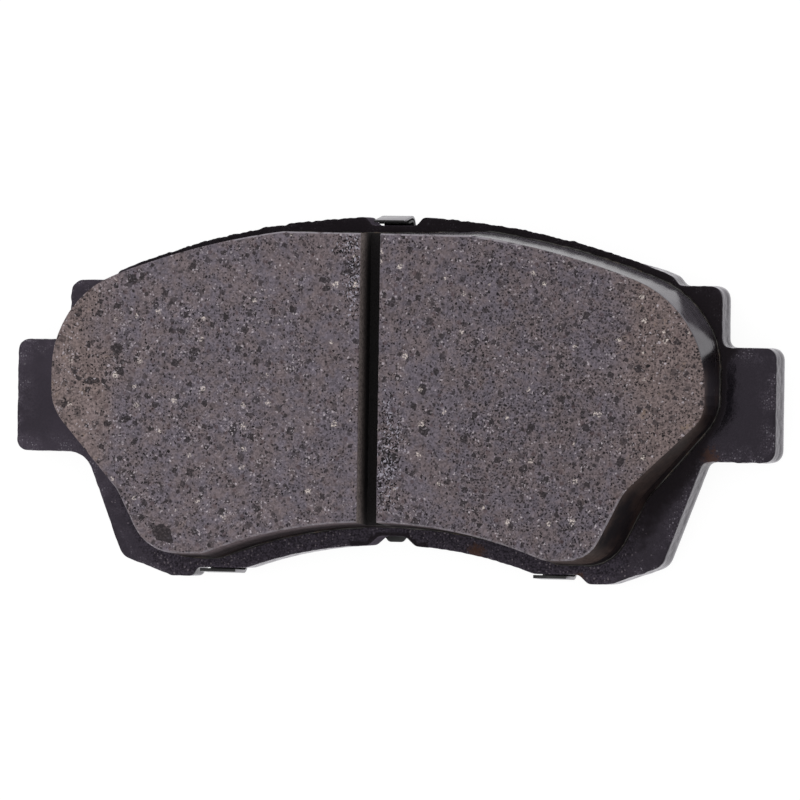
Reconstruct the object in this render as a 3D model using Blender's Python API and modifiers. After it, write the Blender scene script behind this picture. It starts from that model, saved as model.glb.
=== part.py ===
# Disc brake pad: a stamped steel plate carries a moulded lining, and two folded shims hook over its edges.
# X runs from lug to lug, Y towards the arched edge, Z from the shims towards the disc. Lengths in metres.
# The origin is on the outer shim's back, on the centre line of the lugs.
import math

import bmesh
import bpy
from mathutils import Vector

# Gap left between pieces that touch on the real pad
SEAT_GAP = 0.0003

# Backing plate
PLATE_THICKNESS = 0.0060
SHOULDER_SPAN = 0.1193
SHOULDER_RISE = 0.0106
SHOULDER_LEDGE = 0.0091
SHOULDER_CORNER = 0.0022
LUG_REACH = 0.0098
LUG_HEIGHT = 0.0199
LUG_CORNER = 0.0020
LUG_ROOT = 0.0014
RIGHT_FLANK_ROOT = 0.0014
LEFT_FLANK_ROOT = 0.0045
ARCH_RADIUS = 0.1346
ARCH_APEX = 0.0321
ARCH_STEP = 0.0014
ARCH_CORNER = 0.0012
FLANK_INSET = 0.0031
FLANK_RUN = 0.0071
FLANK_CORNER = 0.0030
TOE_RISE = 0.0033
TOE_RUN = 0.0093
FOOT_WIDTH = 0.0040
FOOT_CORNER = 0.0050
FOOT_DROP = 0.0061
HOLLOW_APEX = -0.0254
DIE_ROLL = 0.0003

# Notches in the plate's edges
NOTCH_CORNER = 0.0007
TOP_NOTCH_DEPTH = 0.0016
TOP_NOTCH_FLOOR = 0.0081
TOP_NOTCH_RUN = 0.0012
SIDE_NOTCH_DEPTH = 0.0016
SIDE_NOTCH_FLOOR = 0.0081
RIGHT_NOTCH_RUN = 0.0017
LEFT_NOTCH_RUN = 0.0009
CENTRE_NOTCH_DEPTH = 0.0016
CENTRE_NOTCH_FLOOR = 0.0048
CENTRE_NOTCH_RUN = 0.0019
CENTRE_NOTCH_SHIFT = 0.0004

# Keying holes in the plate that the underlayer is moulded into
KEY_HOLE_RADIUS = 0.0070
KEY_HOLE_SPACING = 0.0600
KEY_HOLE_RISE = 0.0020

# Lining: bond film, underlayer and friction block
FILM_THICKNESS = 0.0003
UNDERLAYER_THICKNESS = 0.0018
BLOCK_THICKNESS = 0.0075
LINING_ARCH_MARGIN = 0.0019
LINING_CROWN_FLAT = 0.0011
LINING_TOP_CORNER = 0.0178
LINING_SIDE_MARGIN = 0.0002
LINING_SIDE_RUN = 0.0067
LINING_SIDE_CORNER = 0.0095
LINING_KINK_MARGIN = 0.0071
LINING_KINK_DROP = 0.0064
LINING_KINK_CORNER = 0.0080
LINING_LOW_ANGLE = math.radians(62.5)
LINING_FOOT_MARGIN = 0.0017
LINING_FOOT_CORNER = 0.0085
LINING_TOE_RUN = 0.0035
LINING_TOE_CORNER = 0.0050
LINING_HOLLOW_MARGIN = 0.0032
FLANK_DRAFT = 0.0020
FLANK_DRAFT_ANGLE = math.radians(148.0)
FOOT_DRAFT = 0.0009
ARCH_DRAFT = 0.00045
TOP_CORNER_DRAFT = 0.0020
SIDE_RUN_DRAFT = 0.0018
FACE_EDGE_BREAK = 0.0004
SLOT_WIDTH = 0.0036
SLOT_FLOOR = 0.0013
SLOT_SHIFT = -0.0010

# Shims, and the tabs that hook into the notches
INNER_SHIM_THICKNESS = 0.0004
OUTER_SHIM_THICKNESS = 0.0004
SHIM_TRAVEL = 0.0020
SHIM_STEP = 0.0007
SHIM_ARCH_MARGIN = 0.0022
SHIM_SIDE_MARGIN = 0.0027
SHIM_TOP_CORNER = 0.0140
SHIM_FLANK_MARGIN = 0.0018
SHIM_FLANK_CORNER = 0.0080
SHIM_FOOT_MARGIN = 0.0010
SHIM_FOOT_CORNER = 0.0060
SHIM_HOLLOW_MARGIN = 0.0021
SHIM_LEDGE = 0.0006
RIGHT_TAB_WIDTH = 0.0060
LEFT_TAB_WIDTH = 0.0066
SIDE_TAB_SLOPE = math.radians(3.0)
TOP_TAB_SLOPE = math.radians(10.5)
TAB_BEND = 0.0010
TAB_RECESS = 0.0003
INNER_TAB_LENGTH = 0.0033
RELIEF_WIDTH = 0.0008
RELIEF_DEPTH = 0.0008
TONGUE_TIP = 0.0026
TONGUE_RUN = 0.0013
TONGUE_REACH = 0.0011
TONGUE_CORNER = 0.0009

# Facets of the curves, and tolerances of the mesh work
CORNER_STEPS = 5
ARCH_STEPS = 10
HOLLOW_STEPS = 8
BEND_STEPS = 6
EDGE_STEPS = 2
HOLE_SIDES = 40
CORNER_SHARE = 0.49
SHARP_ANGLE = math.radians(30.0)
FLAT_ANGLE = math.radians(0.05)
SAME_POINT = 1e-7
SAME_LEVEL = 1e-6

# Heights of the stack above the back of the outer shim
OUTER_SHIM_FACE = OUTER_SHIM_THICKNESS
INNER_SHIM_FACE = OUTER_SHIM_FACE + SEAT_GAP + INNER_SHIM_THICKNESS
PLATE_BACK = INNER_SHIM_FACE + SEAT_GAP
PLATE_FRONT = PLATE_BACK + PLATE_THICKNESS
FILM_BACK = PLATE_FRONT + SEAT_GAP
UNDERLAYER_BACK = FILM_BACK + FILM_THICKNESS + SEAT_GAP
BLOCK_BACK = UNDERLAYER_BACK + UNDERLAYER_THICKNESS + SEAT_GAP
BLOCK_FACE = BLOCK_BACK + BLOCK_THICKNESS
LINING_HEIGHT = BLOCK_FACE - PLATE_FRONT

# Levels of the plate's edges
LUG_TOP = LUG_HEIGHT / 2
LUG_BOTTOM = -LUG_HEIGHT / 2
SHOULDER_TOP = LUG_TOP + SHOULDER_RISE
TOP_NOTCH_LEVEL = ARCH_APEX - TOP_NOTCH_DEPTH
FOOT_LEVEL = HOLLOW_APEX - FOOT_DROP
TOE_LEVEL = FOOT_LEVEL + TOE_RISE
SIDE_NOTCH_LEVEL = FOOT_LEVEL + SIDE_NOTCH_DEPTH
CENTRE_NOTCH_LEVEL = HOLLOW_APEX + CENTRE_NOTCH_DEPTH

# Half widths, worked out from the shoulders inwards
SHOULDER_HALF = SHOULDER_SPAN / 2
LUG_HALF = SHOULDER_HALF + LUG_REACH
ARCH_HALF = SHOULDER_HALF - SHOULDER_LEDGE
FLANK_TOP = SHOULDER_HALF - FLANK_INSET
FOOT_HALF = FLANK_TOP - FLANK_RUN - TOE_RUN
SIDE_NOTCH_MOUTH = FOOT_HALF - FOOT_WIDTH
RIGHT_NOTCH_WALL = SIDE_NOTCH_MOUTH - RIGHT_NOTCH_RUN
LEFT_NOTCH_WALL = SIDE_NOTCH_MOUTH - LEFT_NOTCH_RUN
HOLLOW_HALF = RIGHT_NOTCH_WALL - SIDE_NOTCH_FLOOR

# Circles of the arch and of the hollow, which ends at the lower notches
HOLLOW_RISE = HOLLOW_APEX - SIDE_NOTCH_LEVEL
HOLLOW_RADIUS = (HOLLOW_HALF ** 2 + HOLLOW_RISE ** 2) / (2 * HOLLOW_RISE)
HOLLOW_CENTRE = HOLLOW_APEX - HOLLOW_RADIUS
ARCH_CENTRE = ARCH_APEX - ARCH_RADIUS

# The tabs leave the shims free to slide by their travel, and the shims rest at its left end
TOP_TAB_WIDTH = TOP_NOTCH_FLOOR - SHIM_TRAVEL - 2 * SEAT_GAP
RIGHT_TAB_X = RIGHT_NOTCH_WALL - SEAT_GAP - SHIM_TRAVEL / 2 - RIGHT_TAB_WIDTH / 2
LEFT_TAB_X = LEFT_NOTCH_WALL - SEAT_GAP - SHIM_TRAVEL / 2 - LEFT_TAB_WIDTH / 2
SHIM_REST = -SHIM_TRAVEL / 2


def flank_x(y):
    """Half width of the plate's slanted flank at height y."""
    return FLANK_TOP - FLANK_RUN * (LUG_BOTTOM - y) / (LUG_BOTTOM - TOE_LEVEL)


def circle_y(centre, radius, x):
    """Upper point at x of a circle whose centre is on the pad's middle line."""
    return centre + math.sqrt(radius ** 2 - x ** 2)


def circle_x(centre, radius, y):
    """Half width at y of that circle."""
    return math.sqrt(radius ** 2 - (y - centre) ** 2)


def circle_run(centre, radius, start, end, steps):
    """Sharp corners along that circle, from one x to another."""
    run = []
    for step in range(steps + 1):
        x = start + (end - start) * step / steps
        run.append((x, circle_y(centre, radius, x), 0.0))
    return run


def arch_to_side(radius, side, corner, start):
    """Corners along an arch from x = start, then round into a vertical side."""
    centre_x = side - corner
    centre_y = ARCH_CENTRE + math.sqrt((radius - corner) ** 2 - centre_x ** 2)
    first = math.atan2(centre_y - ARCH_CENTRE, centre_x)
    run = circle_run(ARCH_CENTRE, radius, start, radius * math.cos(first), ARCH_STEPS)
    turns = 2 * CORNER_STEPS
    for step in range(1, turns + 1):
        angle = first * (1 - step / turns)
        run.append((centre_x + corner * math.cos(angle), centre_y + corner * math.sin(angle), 0.0))
    return run


def mirrored(corners):
    """The same corners left of the middle line, in the order that closes the outline."""
    return [(-x, y, radius) for x, y, radius in reversed(corners) if x > 0.0]


def rounded(corners):
    """Outline through (x, y, radius) corners, each turned by an arc that its two edges have room for."""
    points = []
    for index, (x, y, radius) in enumerate(corners):
        here = Vector((x, y))
        if radius == 0.0:
            points.append(here)
            continue
        before = Vector(corners[index - 1][:2]) - here
        after = Vector(corners[(index + 1) % len(corners)][:2]) - here
        half = before.angle(after) / 2
        room = CORNER_SHARE * min(before.length, after.length)
        reach = min(radius / math.tan(half), room)
        start = here + before.normalized() * reach
        end = here + after.normalized() * reach
        centre = here + (before.normalized() + after.normalized()).normalized() * reach / math.cos(half)
        arm = start - centre
        sweep = arm.angle_signed(end - centre)
        for step in range(CORNER_STEPS + 1):
            angle = -sweep * step / CORNER_STEPS
            turned = Vector((arm.x * math.cos(angle) - arm.y * math.sin(angle),
                             arm.x * math.sin(angle) + arm.y * math.cos(angle)))
            points.append(centre + turned)
    return points


def material(name, colour, roughness, metallic):
    """Plain material of one sub-part."""
    finish = bpy.data.materials.new(name)
    finish.use_nodes = True
    shader = finish.node_tree.nodes["Principled BSDF"]
    shader.inputs["Base Color"].default_value = (*colour, 1.0)
    shader.inputs["Roughness"].default_value = roughness
    shader.inputs["Metallic"].default_value = metallic
    return finish


def add_part(name, mesh, finish, place=(0.0, 0.0, 0.0)):
    """Link a mesh as one named sub-part."""
    mesh.name = name
    mesh.shade_smooth()
    mesh.set_sharp_from_angle(angle=SHARP_ANGLE)
    mesh.materials.append(finish)
    part = bpy.data.objects.new(name, mesh)
    part.location = place
    part.parent = pad_origin
    parts.objects.link(part)
    return part


def add_tool(name):
    """Turn the primitive that was just added into a hidden Boolean tool."""
    tool = bpy.context.object
    tool.name = name
    tool.hide_render = True
    tool.display_type = 'WIRE'
    for owner in list(tool.users_collection):
        owner.objects.unlink(tool)
    cutters.objects.link(tool)
    return tool


def add_boolean(part, tool, operation):
    """Cut or join a tool into a part."""
    cut = part.modifiers.new(tool.name, 'BOOLEAN')
    cut.operation = operation
    cut.object = tool
    cut.solver = 'EXACT'


def key_cylinders(name, radius, bottom, top):
    """Upright cylinders on the keying holes' axes."""
    tools = []
    for side, hand in ((-1, "left"), (1, "right")):
        bpy.ops.mesh.primitive_cylinder_add(
            vertices=HOLE_SIDES, radius=radius, depth=top - bottom,
            location=(side * KEY_HOLE_SPACING / 2, KEY_HOLE_RISE, (bottom + top) / 2))
        tools.append(add_tool(f"{name}_{hand}"))
    return tools


def flat_solid(name, outline, thickness):
    """Mesh of a flat outline, from z = 0 up to its thickness."""
    curve = bpy.data.curves.new(name, 'CURVE')
    curve.dimensions = '2D'
    curve.fill_mode = 'BOTH'
    curve.extrude = thickness / 2
    spline = curve.splines.new('POLY')
    spline.points.add(len(outline) - 1)
    for point, (x, y) in zip(spline.points, outline):
        point.co = (x, y, 0.0, 1.0)
    spline.use_cyclic_u = True
    drawn = bpy.data.objects.new(name, curve)
    parts.objects.link(drawn)
    mesh = bpy.data.meshes.new_from_object(drawn.evaluated_get(bpy.context.evaluated_depsgraph_get()))
    bpy.data.objects.remove(drawn)
    solid = bmesh.new()
    solid.from_mesh(mesh)
    bmesh.ops.remove_doubles(solid, verts=solid.verts, dist=SAME_POINT)
    bmesh.ops.dissolve_limit(solid, angle_limit=FLAT_ANGLE, verts=solid.verts, edges=solid.edges)
    bmesh.ops.translate(solid, verts=solid.verts, vec=(0.0, 0.0, thickness / 2))
    bmesh.ops.recalc_face_normals(solid, faces=solid.faces)
    solid.to_mesh(mesh)
    solid.free()
    return mesh


def ease_rim(mesh, level, width):
    """Round the edges of a solid's flat end at z = level."""
    solid = bmesh.new()
    solid.from_mesh(mesh)
    rim = [edge for edge in solid.edges if all(abs(vert.co.z - level) < SAME_LEVEL for vert in edge.verts)]
    bmesh.ops.bevel(solid, geom=rim, offset=width, segments=EDGE_STEPS, profile=0.5, affect='EDGES')
    solid.to_mesh(mesh)
    solid.free()


def plate_half(shift, flank_root, notch_wall):
    """Corners of the plate's right half, from the top notch round to the centre notch, set off by shift."""
    top_half = TOP_NOTCH_FLOOR / 2
    low_half = CENTRE_NOTCH_FLOOR / 2 + shift
    arch = circle_run(ARCH_CENTRE, ARCH_RADIUS, top_half + TOP_NOTCH_RUN, ARCH_HALF, ARCH_STEPS)
    arch[0] = (*arch[0][:2], NOTCH_CORNER)
    arch[-1] = (*arch[-1][:2], ARCH_CORNER)
    hollow = circle_run(HOLLOW_CENTRE, HOLLOW_RADIUS, HOLLOW_HALF, low_half + CENTRE_NOTCH_RUN, HOLLOW_STEPS)
    hollow[-1] = (*hollow[-1][:2], NOTCH_CORNER)
    side = [
        (ARCH_HALF + ARCH_STEP, SHOULDER_TOP, ARCH_CORNER),
        (SHOULDER_HALF, SHOULDER_TOP, SHOULDER_CORNER),
        (SHOULDER_HALF, LUG_TOP, LUG_ROOT),
        (LUG_HALF, LUG_TOP, LUG_CORNER),
        (LUG_HALF, LUG_BOTTOM, LUG_CORNER),
        (FLANK_TOP, LUG_BOTTOM, flank_root),
        (flank_x(TOE_LEVEL), TOE_LEVEL, FLANK_CORNER),
        (FOOT_HALF, FOOT_LEVEL, FOOT_CORNER),
        (SIDE_NOTCH_MOUTH, FOOT_LEVEL, NOTCH_CORNER),
        (notch_wall, SIDE_NOTCH_LEVEL, NOTCH_CORNER),
    ]
    top_notch = [(top_half, TOP_NOTCH_LEVEL, NOTCH_CORNER)]
    centre_notch = [(low_half, CENTRE_NOTCH_LEVEL, NOTCH_CORNER)]
    return top_notch + arch + side + hollow + centre_notch


def backing_plate():
    """Stamped plate, with the die roll on its back edge and the keying holes through it."""
    right = plate_half(CENTRE_NOTCH_SHIFT, RIGHT_FLANK_ROOT, RIGHT_NOTCH_WALL)
    left = plate_half(-CENTRE_NOTCH_SHIFT, LEFT_FLANK_ROOT, LEFT_NOTCH_WALL)
    outline = rounded(right + mirrored(left))
    mesh = flat_solid("backing_plate", outline, PLATE_THICKNESS)
    ease_rim(mesh, 0.0, DIE_ROLL)
    finish = material("black_plate", (0.018, 0.018, 0.022), 0.45, 0.3)
    plate = add_part("backing_plate", mesh, finish, (0.0, 0.0, PLATE_BACK))
    for hole in key_holes:
        add_boolean(plate, hole, 'DIFFERENCE')


def lining_half(rise, share):
    """Corners of the lining's right half, foot raised, with a share of the drafts off its walls."""
    arch = ARCH_RADIUS - LINING_ARCH_MARGIN - ARCH_DRAFT * share
    crown_half = circle_x(ARCH_CENTRE, arch, ARCH_CENTRE + arch - LINING_CROWN_FLAT)
    hollow = HOLLOW_RADIUS + LINING_HOLLOW_MARGIN + rise
    foot = SIDE_NOTCH_LEVEL + LINING_FOOT_MARGIN + rise
    kink_y = LUG_BOTTOM - LINING_KINK_DROP
    kink_x = flank_x(kink_y) - LINING_KINK_MARGIN + FLANK_DRAFT * share * math.cos(FLANK_DRAFT_ANGLE)
    kink_y += FLANK_DRAFT * share * math.sin(FLANK_DRAFT_ANGLE)
    foot_x = kink_x - (kink_y - foot) / math.tan(LINING_LOW_ANGLE)
    toe = circle_x(HOLLOW_CENTRE, hollow, foot)
    side = SHOULDER_HALF - LINING_SIDE_MARGIN
    corners = arch_to_side(arch, side, LINING_TOP_CORNER + TOP_CORNER_DRAFT * share, crown_half)
    side_run = LINING_SIDE_RUN - SIDE_RUN_DRAFT * share
    corners += [
        (side, corners[-1][1] - side_run, LINING_SIDE_CORNER),
        (kink_x, kink_y, LINING_KINK_CORNER),
        (foot_x, foot, LINING_FOOT_CORNER),
        (toe, foot, LINING_TOE_CORNER),
    ]
    return corners + circle_run(HOLLOW_CENTRE, hollow, toe - LINING_TOE_RUN, 0.0, HOLLOW_STEPS)


def lining_ring(level):
    """Outline of the lining at a height: the foot and the right half's walls draw in towards the face."""
    share = (level - PLATE_FRONT) / LINING_HEIGHT
    rise = FOOT_DRAFT * share
    return rounded(lining_half(rise, share) + mirrored(lining_half(rise, 0.0)))


def lining_layer(bottom, top):
    """Loft of the lining between two heights."""
    mesh = bpy.data.meshes.new("lining_layer")
    solid = bmesh.new()
    low = [solid.verts.new((x, y, bottom)) for x, y in lining_ring(bottom)]
    high = [solid.verts.new((x, y, top)) for x, y in lining_ring(top)]
    solid.faces.new(low)
    solid.faces.new(high)
    for index in range(len(low)):
        solid.faces.new((low[index - 1], low[index], high[index], high[index - 1]))
    bmesh.ops.recalc_face_normals(solid, faces=solid.faces)
    solid.to_mesh(mesh)
    solid.free()
    return mesh


def bond_film():
    """Adhesive film between plate and underlayer, open over the keying holes."""
    finish = material("bond_adhesive", (0.10, 0.06, 0.035), 0.6, 0.0)
    film = add_part("bond_film", lining_layer(FILM_BACK, FILM_BACK + FILM_THICKNESS), finish)
    for hole in key_holes:
        add_boolean(film, hole, 'DIFFERENCE')


def underlayer():
    """Underlayer of the lining, with a plug moulded into each keying hole."""
    top = UNDERLAYER_BACK + UNDERLAYER_THICKNESS
    finish = material("underlayer_mix", (0.085, 0.075, 0.070), 0.85, 0.0)
    layer = add_part("underlayer", lining_layer(UNDERLAYER_BACK, top), finish)
    middle = UNDERLAYER_BACK + UNDERLAYER_THICKNESS / 2
    for plug in key_cylinders("key_plug", KEY_HOLE_RADIUS - SEAT_GAP, PLATE_BACK, middle):
        add_boolean(layer, plug, 'UNION')


def friction_block():
    """Friction block, with its face edge broken and the slot cut across it."""
    mesh = lining_layer(BLOCK_BACK, BLOCK_FACE)
    ease_rim(mesh, BLOCK_FACE, FACE_EDGE_BREAK)
    finish = material("friction_mix", (0.145, 0.125, 0.128), 0.8, 0.05)
    block = add_part("friction_block", mesh, finish)
    bpy.ops.mesh.primitive_cube_add(size=1.0, location=(SLOT_SHIFT, 0.0, BLOCK_FACE))
    slot = add_tool("slot_cutter")
    slot.scale = (SLOT_WIDTH, 2 * (ARCH_APEX - FOOT_LEVEL), 2 * (BLOCK_THICKNESS - SLOT_FLOOR))
    add_boolean(block, slot, 'DIFFERENCE')


def tab_fold(slope, play, length, bend):
    """Path of a tab's inner face from its root to its tip, as (distance outside the notch floor, height)."""
    knee = play + length * math.tan(slope)
    turn = math.radians(90.0) + slope
    reach = bend * math.tan(turn / 2)
    path = []
    for step in range(BEND_STEPS + 1):
        angle = turn * step / BEND_STEPS
        path.append((knee - reach + bend * math.sin(angle), bend - bend * math.cos(angle)))
    path.append((play, length))
    return path


def shim_top(step, root):
    """Corners of a shim's right half from its top tab down to the flank, with the slit beside the tab."""
    side = SHOULDER_HALF - SHIM_SIDE_MARGIN - step
    margin = SHIM_FLANK_MARGIN + step
    turn_y = LUG_BOTTOM + (side + margin - FLANK_TOP) * (LUG_BOTTOM - TOE_LEVEL) / FLANK_RUN
    slit = TOP_TAB_WIDTH / 2 + RELIEF_WIDTH
    corners = [(TOP_TAB_WIDTH / 2, root, 0.0), (slit, root, 0.0)]
    corners += arch_to_side(ARCH_RADIUS - SHIM_ARCH_MARGIN - step, side, SHIM_TOP_CORNER, slit)
    corners.append((side, turn_y, SHIM_FLANK_CORNER))
    return corners


def plain_foot(step, foot):
    """Corners of a shim's lower right edge without a tab."""
    hollow = HOLLOW_RADIUS + SHIM_HOLLOW_MARGIN + step
    toe = circle_x(HOLLOW_CENTRE, hollow, foot)
    corners = [(flank_x(foot) - SHIM_FLANK_MARGIN - step, foot, SHIM_FOOT_CORNER)]
    return corners + circle_run(HOLLOW_CENTRE, hollow, toe, 0.0, HOLLOW_STEPS)


def tabbed_foot(step, foot, root, tab_x, tab_width):
    """Corners of a shim's lower right edge, with slits beside its tab and half of the middle tongue."""
    hollow = HOLLOW_RADIUS + SHIM_HOLLOW_MARGIN + step
    tab_in = tab_x - tab_width / 2
    tab_out = tab_x + tab_width / 2
    slit_in = tab_in - RELIEF_WIDTH
    slit_out = tab_out + RELIEF_WIDTH
    ledge = slit_in - SHIM_LEDGE
    tongue_half = TONGUE_TIP / 2 + TONGUE_RUN
    corners = [
        (flank_x(foot) - SHIM_FLANK_MARGIN - step, foot, SHIM_FOOT_CORNER),
        (slit_out, foot, 0.0),
        (slit_out, root, 0.0),
        (tab_out, root, 0.0),
        (tab_in, root, 0.0),
        (slit_in, root, 0.0),
        (slit_in, foot, 0.0),
        (ledge, foot, 0.0),
    ]
    corners += circle_run(HOLLOW_CENTRE, hollow, ledge, tongue_half, HOLLOW_STEPS)
    corners.append((TONGUE_TIP / 2, CENTRE_NOTCH_LEVEL - TONGUE_REACH, TONGUE_CORNER))
    return corners


def fold_tab(sheet, middle, root, floor, outward, path):
    """Extrude the root edge of a tab along its folded path."""
    seat = Vector((middle, root, 0.0))
    edge = min(sheet.edges, key=lambda item: ((item.verts[0].co + item.verts[1].co) / 2 - seat).length)
    for distance, height in path:
        grown = bmesh.ops.extrude_edge_only(sheet, edges=[edge])["geom"]
        edge = next(item for item in grown if isinstance(item, bmesh.types.BMEdge)
                    and all(vert in grown for vert in item.verts))
        for vert in edge.verts:
            vert.co.y = floor + outward * distance
            vert.co.z = height


def shim(name, finish, thickness, face, step, top_path, side_path):
    """One folded sheet: the drawn surface is its inner face, and its thickness lies outside that."""
    crown = ARCH_APEX - SHIM_ARCH_MARGIN - step
    foot = SIDE_NOTCH_LEVEL + SHIM_FOOT_MARGIN + step
    top_root = min(crown, TOP_NOTCH_LEVEL + top_path[0][0]) - RELIEF_DEPTH
    right = shim_top(step, top_root)
    left = shim_top(step, top_root)
    if side_path:
        foot_root = max(foot, SIDE_NOTCH_LEVEL - side_path[0][0]) + RELIEF_DEPTH
        right += tabbed_foot(step, foot, foot_root, RIGHT_TAB_X, RIGHT_TAB_WIDTH)
        left += tabbed_foot(step, foot, foot_root, LEFT_TAB_X, LEFT_TAB_WIDTH)
    else:
        right += plain_foot(step, foot)
        left += plain_foot(step, foot)
    mesh = bpy.data.meshes.new(name)
    sheet = bmesh.new()
    outline = rounded(right + mirrored(left))
    base = sheet.faces.new([sheet.verts.new((x, y, 0.0)) for x, y in outline])
    fold_tab(sheet, 0.0, top_root, TOP_NOTCH_LEVEL, 1, top_path)
    if side_path:
        for tab_x in (-LEFT_TAB_X, RIGHT_TAB_X):
            fold_tab(sheet, tab_x, foot_root, SIDE_NOTCH_LEVEL, -1, side_path)
    bmesh.ops.recalc_face_normals(sheet, faces=sheet.faces)
    if base.normal.z < 0.0:
        bmesh.ops.reverse_faces(sheet, faces=sheet.faces)
    sheet.to_mesh(mesh)
    sheet.free()
    folded = add_part(name, mesh, finish, (SHIM_REST, 0.0, face))
    wall = folded.modifiers.new("sheet_thickness", 'SOLIDIFY')
    wall.thickness = thickness
    wall.offset = -1.0
    wall.use_even_offset = True


def inner_shim():
    """Coated sheet next to the plate, hooked into the top notch by a short tab."""
    finish = material("coated_shim", (0.035, 0.035, 0.038), 0.6, 0.2)
    top_path = tab_fold(TOP_TAB_SLOPE, SEAT_GAP, INNER_TAB_LENGTH, TAB_BEND)
    shim("inner_shim", finish, INNER_SHIM_THICKNESS, INNER_SHIM_FACE, SHIM_STEP, top_path, [])


def outer_shim():
    """Bright sheet over the inner shim, with a top tab outside the inner one and two lower tabs."""
    finish = material("bright_shim", (0.55, 0.55, 0.57), 0.35, 1.0)
    layer = INNER_SHIM_THICKNESS + SEAT_GAP
    length = PLATE_FRONT - TAB_RECESS - OUTER_SHIM_FACE
    overhang = OUTER_SHIM_FACE + length - INNER_SHIM_FACE - INNER_TAB_LENGTH
    nested = SEAT_GAP + layer / math.cos(TOP_TAB_SLOPE) - overhang * math.tan(TOP_TAB_SLOPE)
    top_path = tab_fold(TOP_TAB_SLOPE, max(SEAT_GAP, nested), length, TAB_BEND + layer)
    side_path = tab_fold(SIDE_TAB_SLOPE, SEAT_GAP, length, TAB_BEND + layer)
    shim("outer_shim", finish, OUTER_SHIM_THICKNESS, OUTER_SHIM_FACE, 0.0, top_path, side_path)


for old in list(bpy.data.objects):
    bpy.data.objects.remove(old)
parts = bpy.data.collections.new("brake_pad")
cutters = bpy.data.collections.new("brake_pad_cutters")
bpy.context.scene.collection.children.link(parts)
bpy.context.scene.collection.children.link(cutters)
pad_origin = bpy.data.objects.new("pad_origin", None)
parts.objects.link(pad_origin)
key_holes = key_cylinders("key_hole", KEY_HOLE_RADIUS, 0.0, UNDERLAYER_BACK)
backing_plate()
bond_film()
underlayer()
friction_block()
inner_shim()
outer_shim()
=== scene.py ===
# Brake pad looks: crumbly friction block, painted plate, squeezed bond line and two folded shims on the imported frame.
# Metres, +X from lug to lug, +Y to the arched edge, +Z from the shims to the friction face.
import math
import random
import bmesh
import bpy
import numpy as np
from mathutils import Matrix, Vector, kdtree, noise
from mathutils.geometry import delaunay_2d_cdt


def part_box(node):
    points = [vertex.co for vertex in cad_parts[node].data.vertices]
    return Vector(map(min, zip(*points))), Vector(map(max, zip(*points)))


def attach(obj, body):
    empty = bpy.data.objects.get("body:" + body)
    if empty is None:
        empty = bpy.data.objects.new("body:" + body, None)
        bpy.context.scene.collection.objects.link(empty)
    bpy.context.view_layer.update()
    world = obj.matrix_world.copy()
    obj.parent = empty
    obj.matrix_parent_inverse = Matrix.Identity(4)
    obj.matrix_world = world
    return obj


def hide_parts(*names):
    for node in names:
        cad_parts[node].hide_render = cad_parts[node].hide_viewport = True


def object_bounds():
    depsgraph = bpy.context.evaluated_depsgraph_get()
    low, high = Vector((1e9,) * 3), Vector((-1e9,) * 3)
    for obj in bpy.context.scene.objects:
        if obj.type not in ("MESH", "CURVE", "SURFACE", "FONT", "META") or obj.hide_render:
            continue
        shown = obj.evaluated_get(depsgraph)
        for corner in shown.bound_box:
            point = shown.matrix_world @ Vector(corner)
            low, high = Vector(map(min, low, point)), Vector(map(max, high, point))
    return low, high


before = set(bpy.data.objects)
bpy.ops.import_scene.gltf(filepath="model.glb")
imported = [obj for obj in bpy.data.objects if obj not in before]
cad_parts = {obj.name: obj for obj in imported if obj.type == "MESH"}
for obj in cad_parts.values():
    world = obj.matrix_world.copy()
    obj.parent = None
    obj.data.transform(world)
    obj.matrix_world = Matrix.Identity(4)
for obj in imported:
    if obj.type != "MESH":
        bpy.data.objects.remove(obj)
cadBox = [list(corner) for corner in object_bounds()]
mm = 0.001
print("frame loaded:", ", ".join(sorted(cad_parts)))


# Outlines read from the frame

def sectionLoops(nodeName, height):  # closed outlines where a level plane cuts a CAD solid
    solid = bmesh.new()
    solid.from_mesh(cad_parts[nodeName].data)
    bmesh.ops.remove_doubles(solid, verts=solid.verts, dist=1e-6)
    everything = solid.verts[:] + solid.edges[:] + solid.faces[:]
    bmesh.ops.bisect_plane(solid, geom=everything, dist=1e-8, plane_co=(0, 0, height), plane_no=(0, 0, 1),
                           clear_inner=True, clear_outer=True)
    loops = []
    unused = set(solid.verts)
    while unused:
        here = min(unused, key=lambda vert: (vert.co.x, vert.co.y))
        loop = []
        while here is not None:
            unused.discard(here)
            loop.append(here.co.xy[:])
            nearby = [edge.other_vert(here) for edge in here.link_edges]
            here = next((vert for vert in nearby if vert in unused), None)
        loops.append(np.array(loop))
    solid.free()
    return [loop if signedArea(loop) > 0 else loop[::-1] for loop in loops]


def signedArea(loop):
    ahead = np.roll(loop, -1, axis=0)
    return float(np.sum(loop[:, 0] * ahead[:, 1] - ahead[:, 0] * loop[:, 1])) / 2


def fineLoop(loop, gap):  # the same closed outline with its long edges split
    points = []
    for here, ahead in zip(loop, np.roll(loop, -1, axis=0)):
        parts = max(1, math.ceil(np.linalg.norm(ahead - here) / gap))
        points += [here + (ahead - here) * part / parts for part in range(parts)]
    return np.array(points)


def evenRun(run, count):  # an open run of points, spread evenly
    lengths = np.concatenate([[0.0], np.cumsum(np.linalg.norm(np.diff(run, axis=0), axis=1))])
    places = np.linspace(0.0, lengths[-1], count)
    return np.column_stack([np.interp(places, lengths, run[:, axis]) for axis in (0, 1)])


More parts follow.
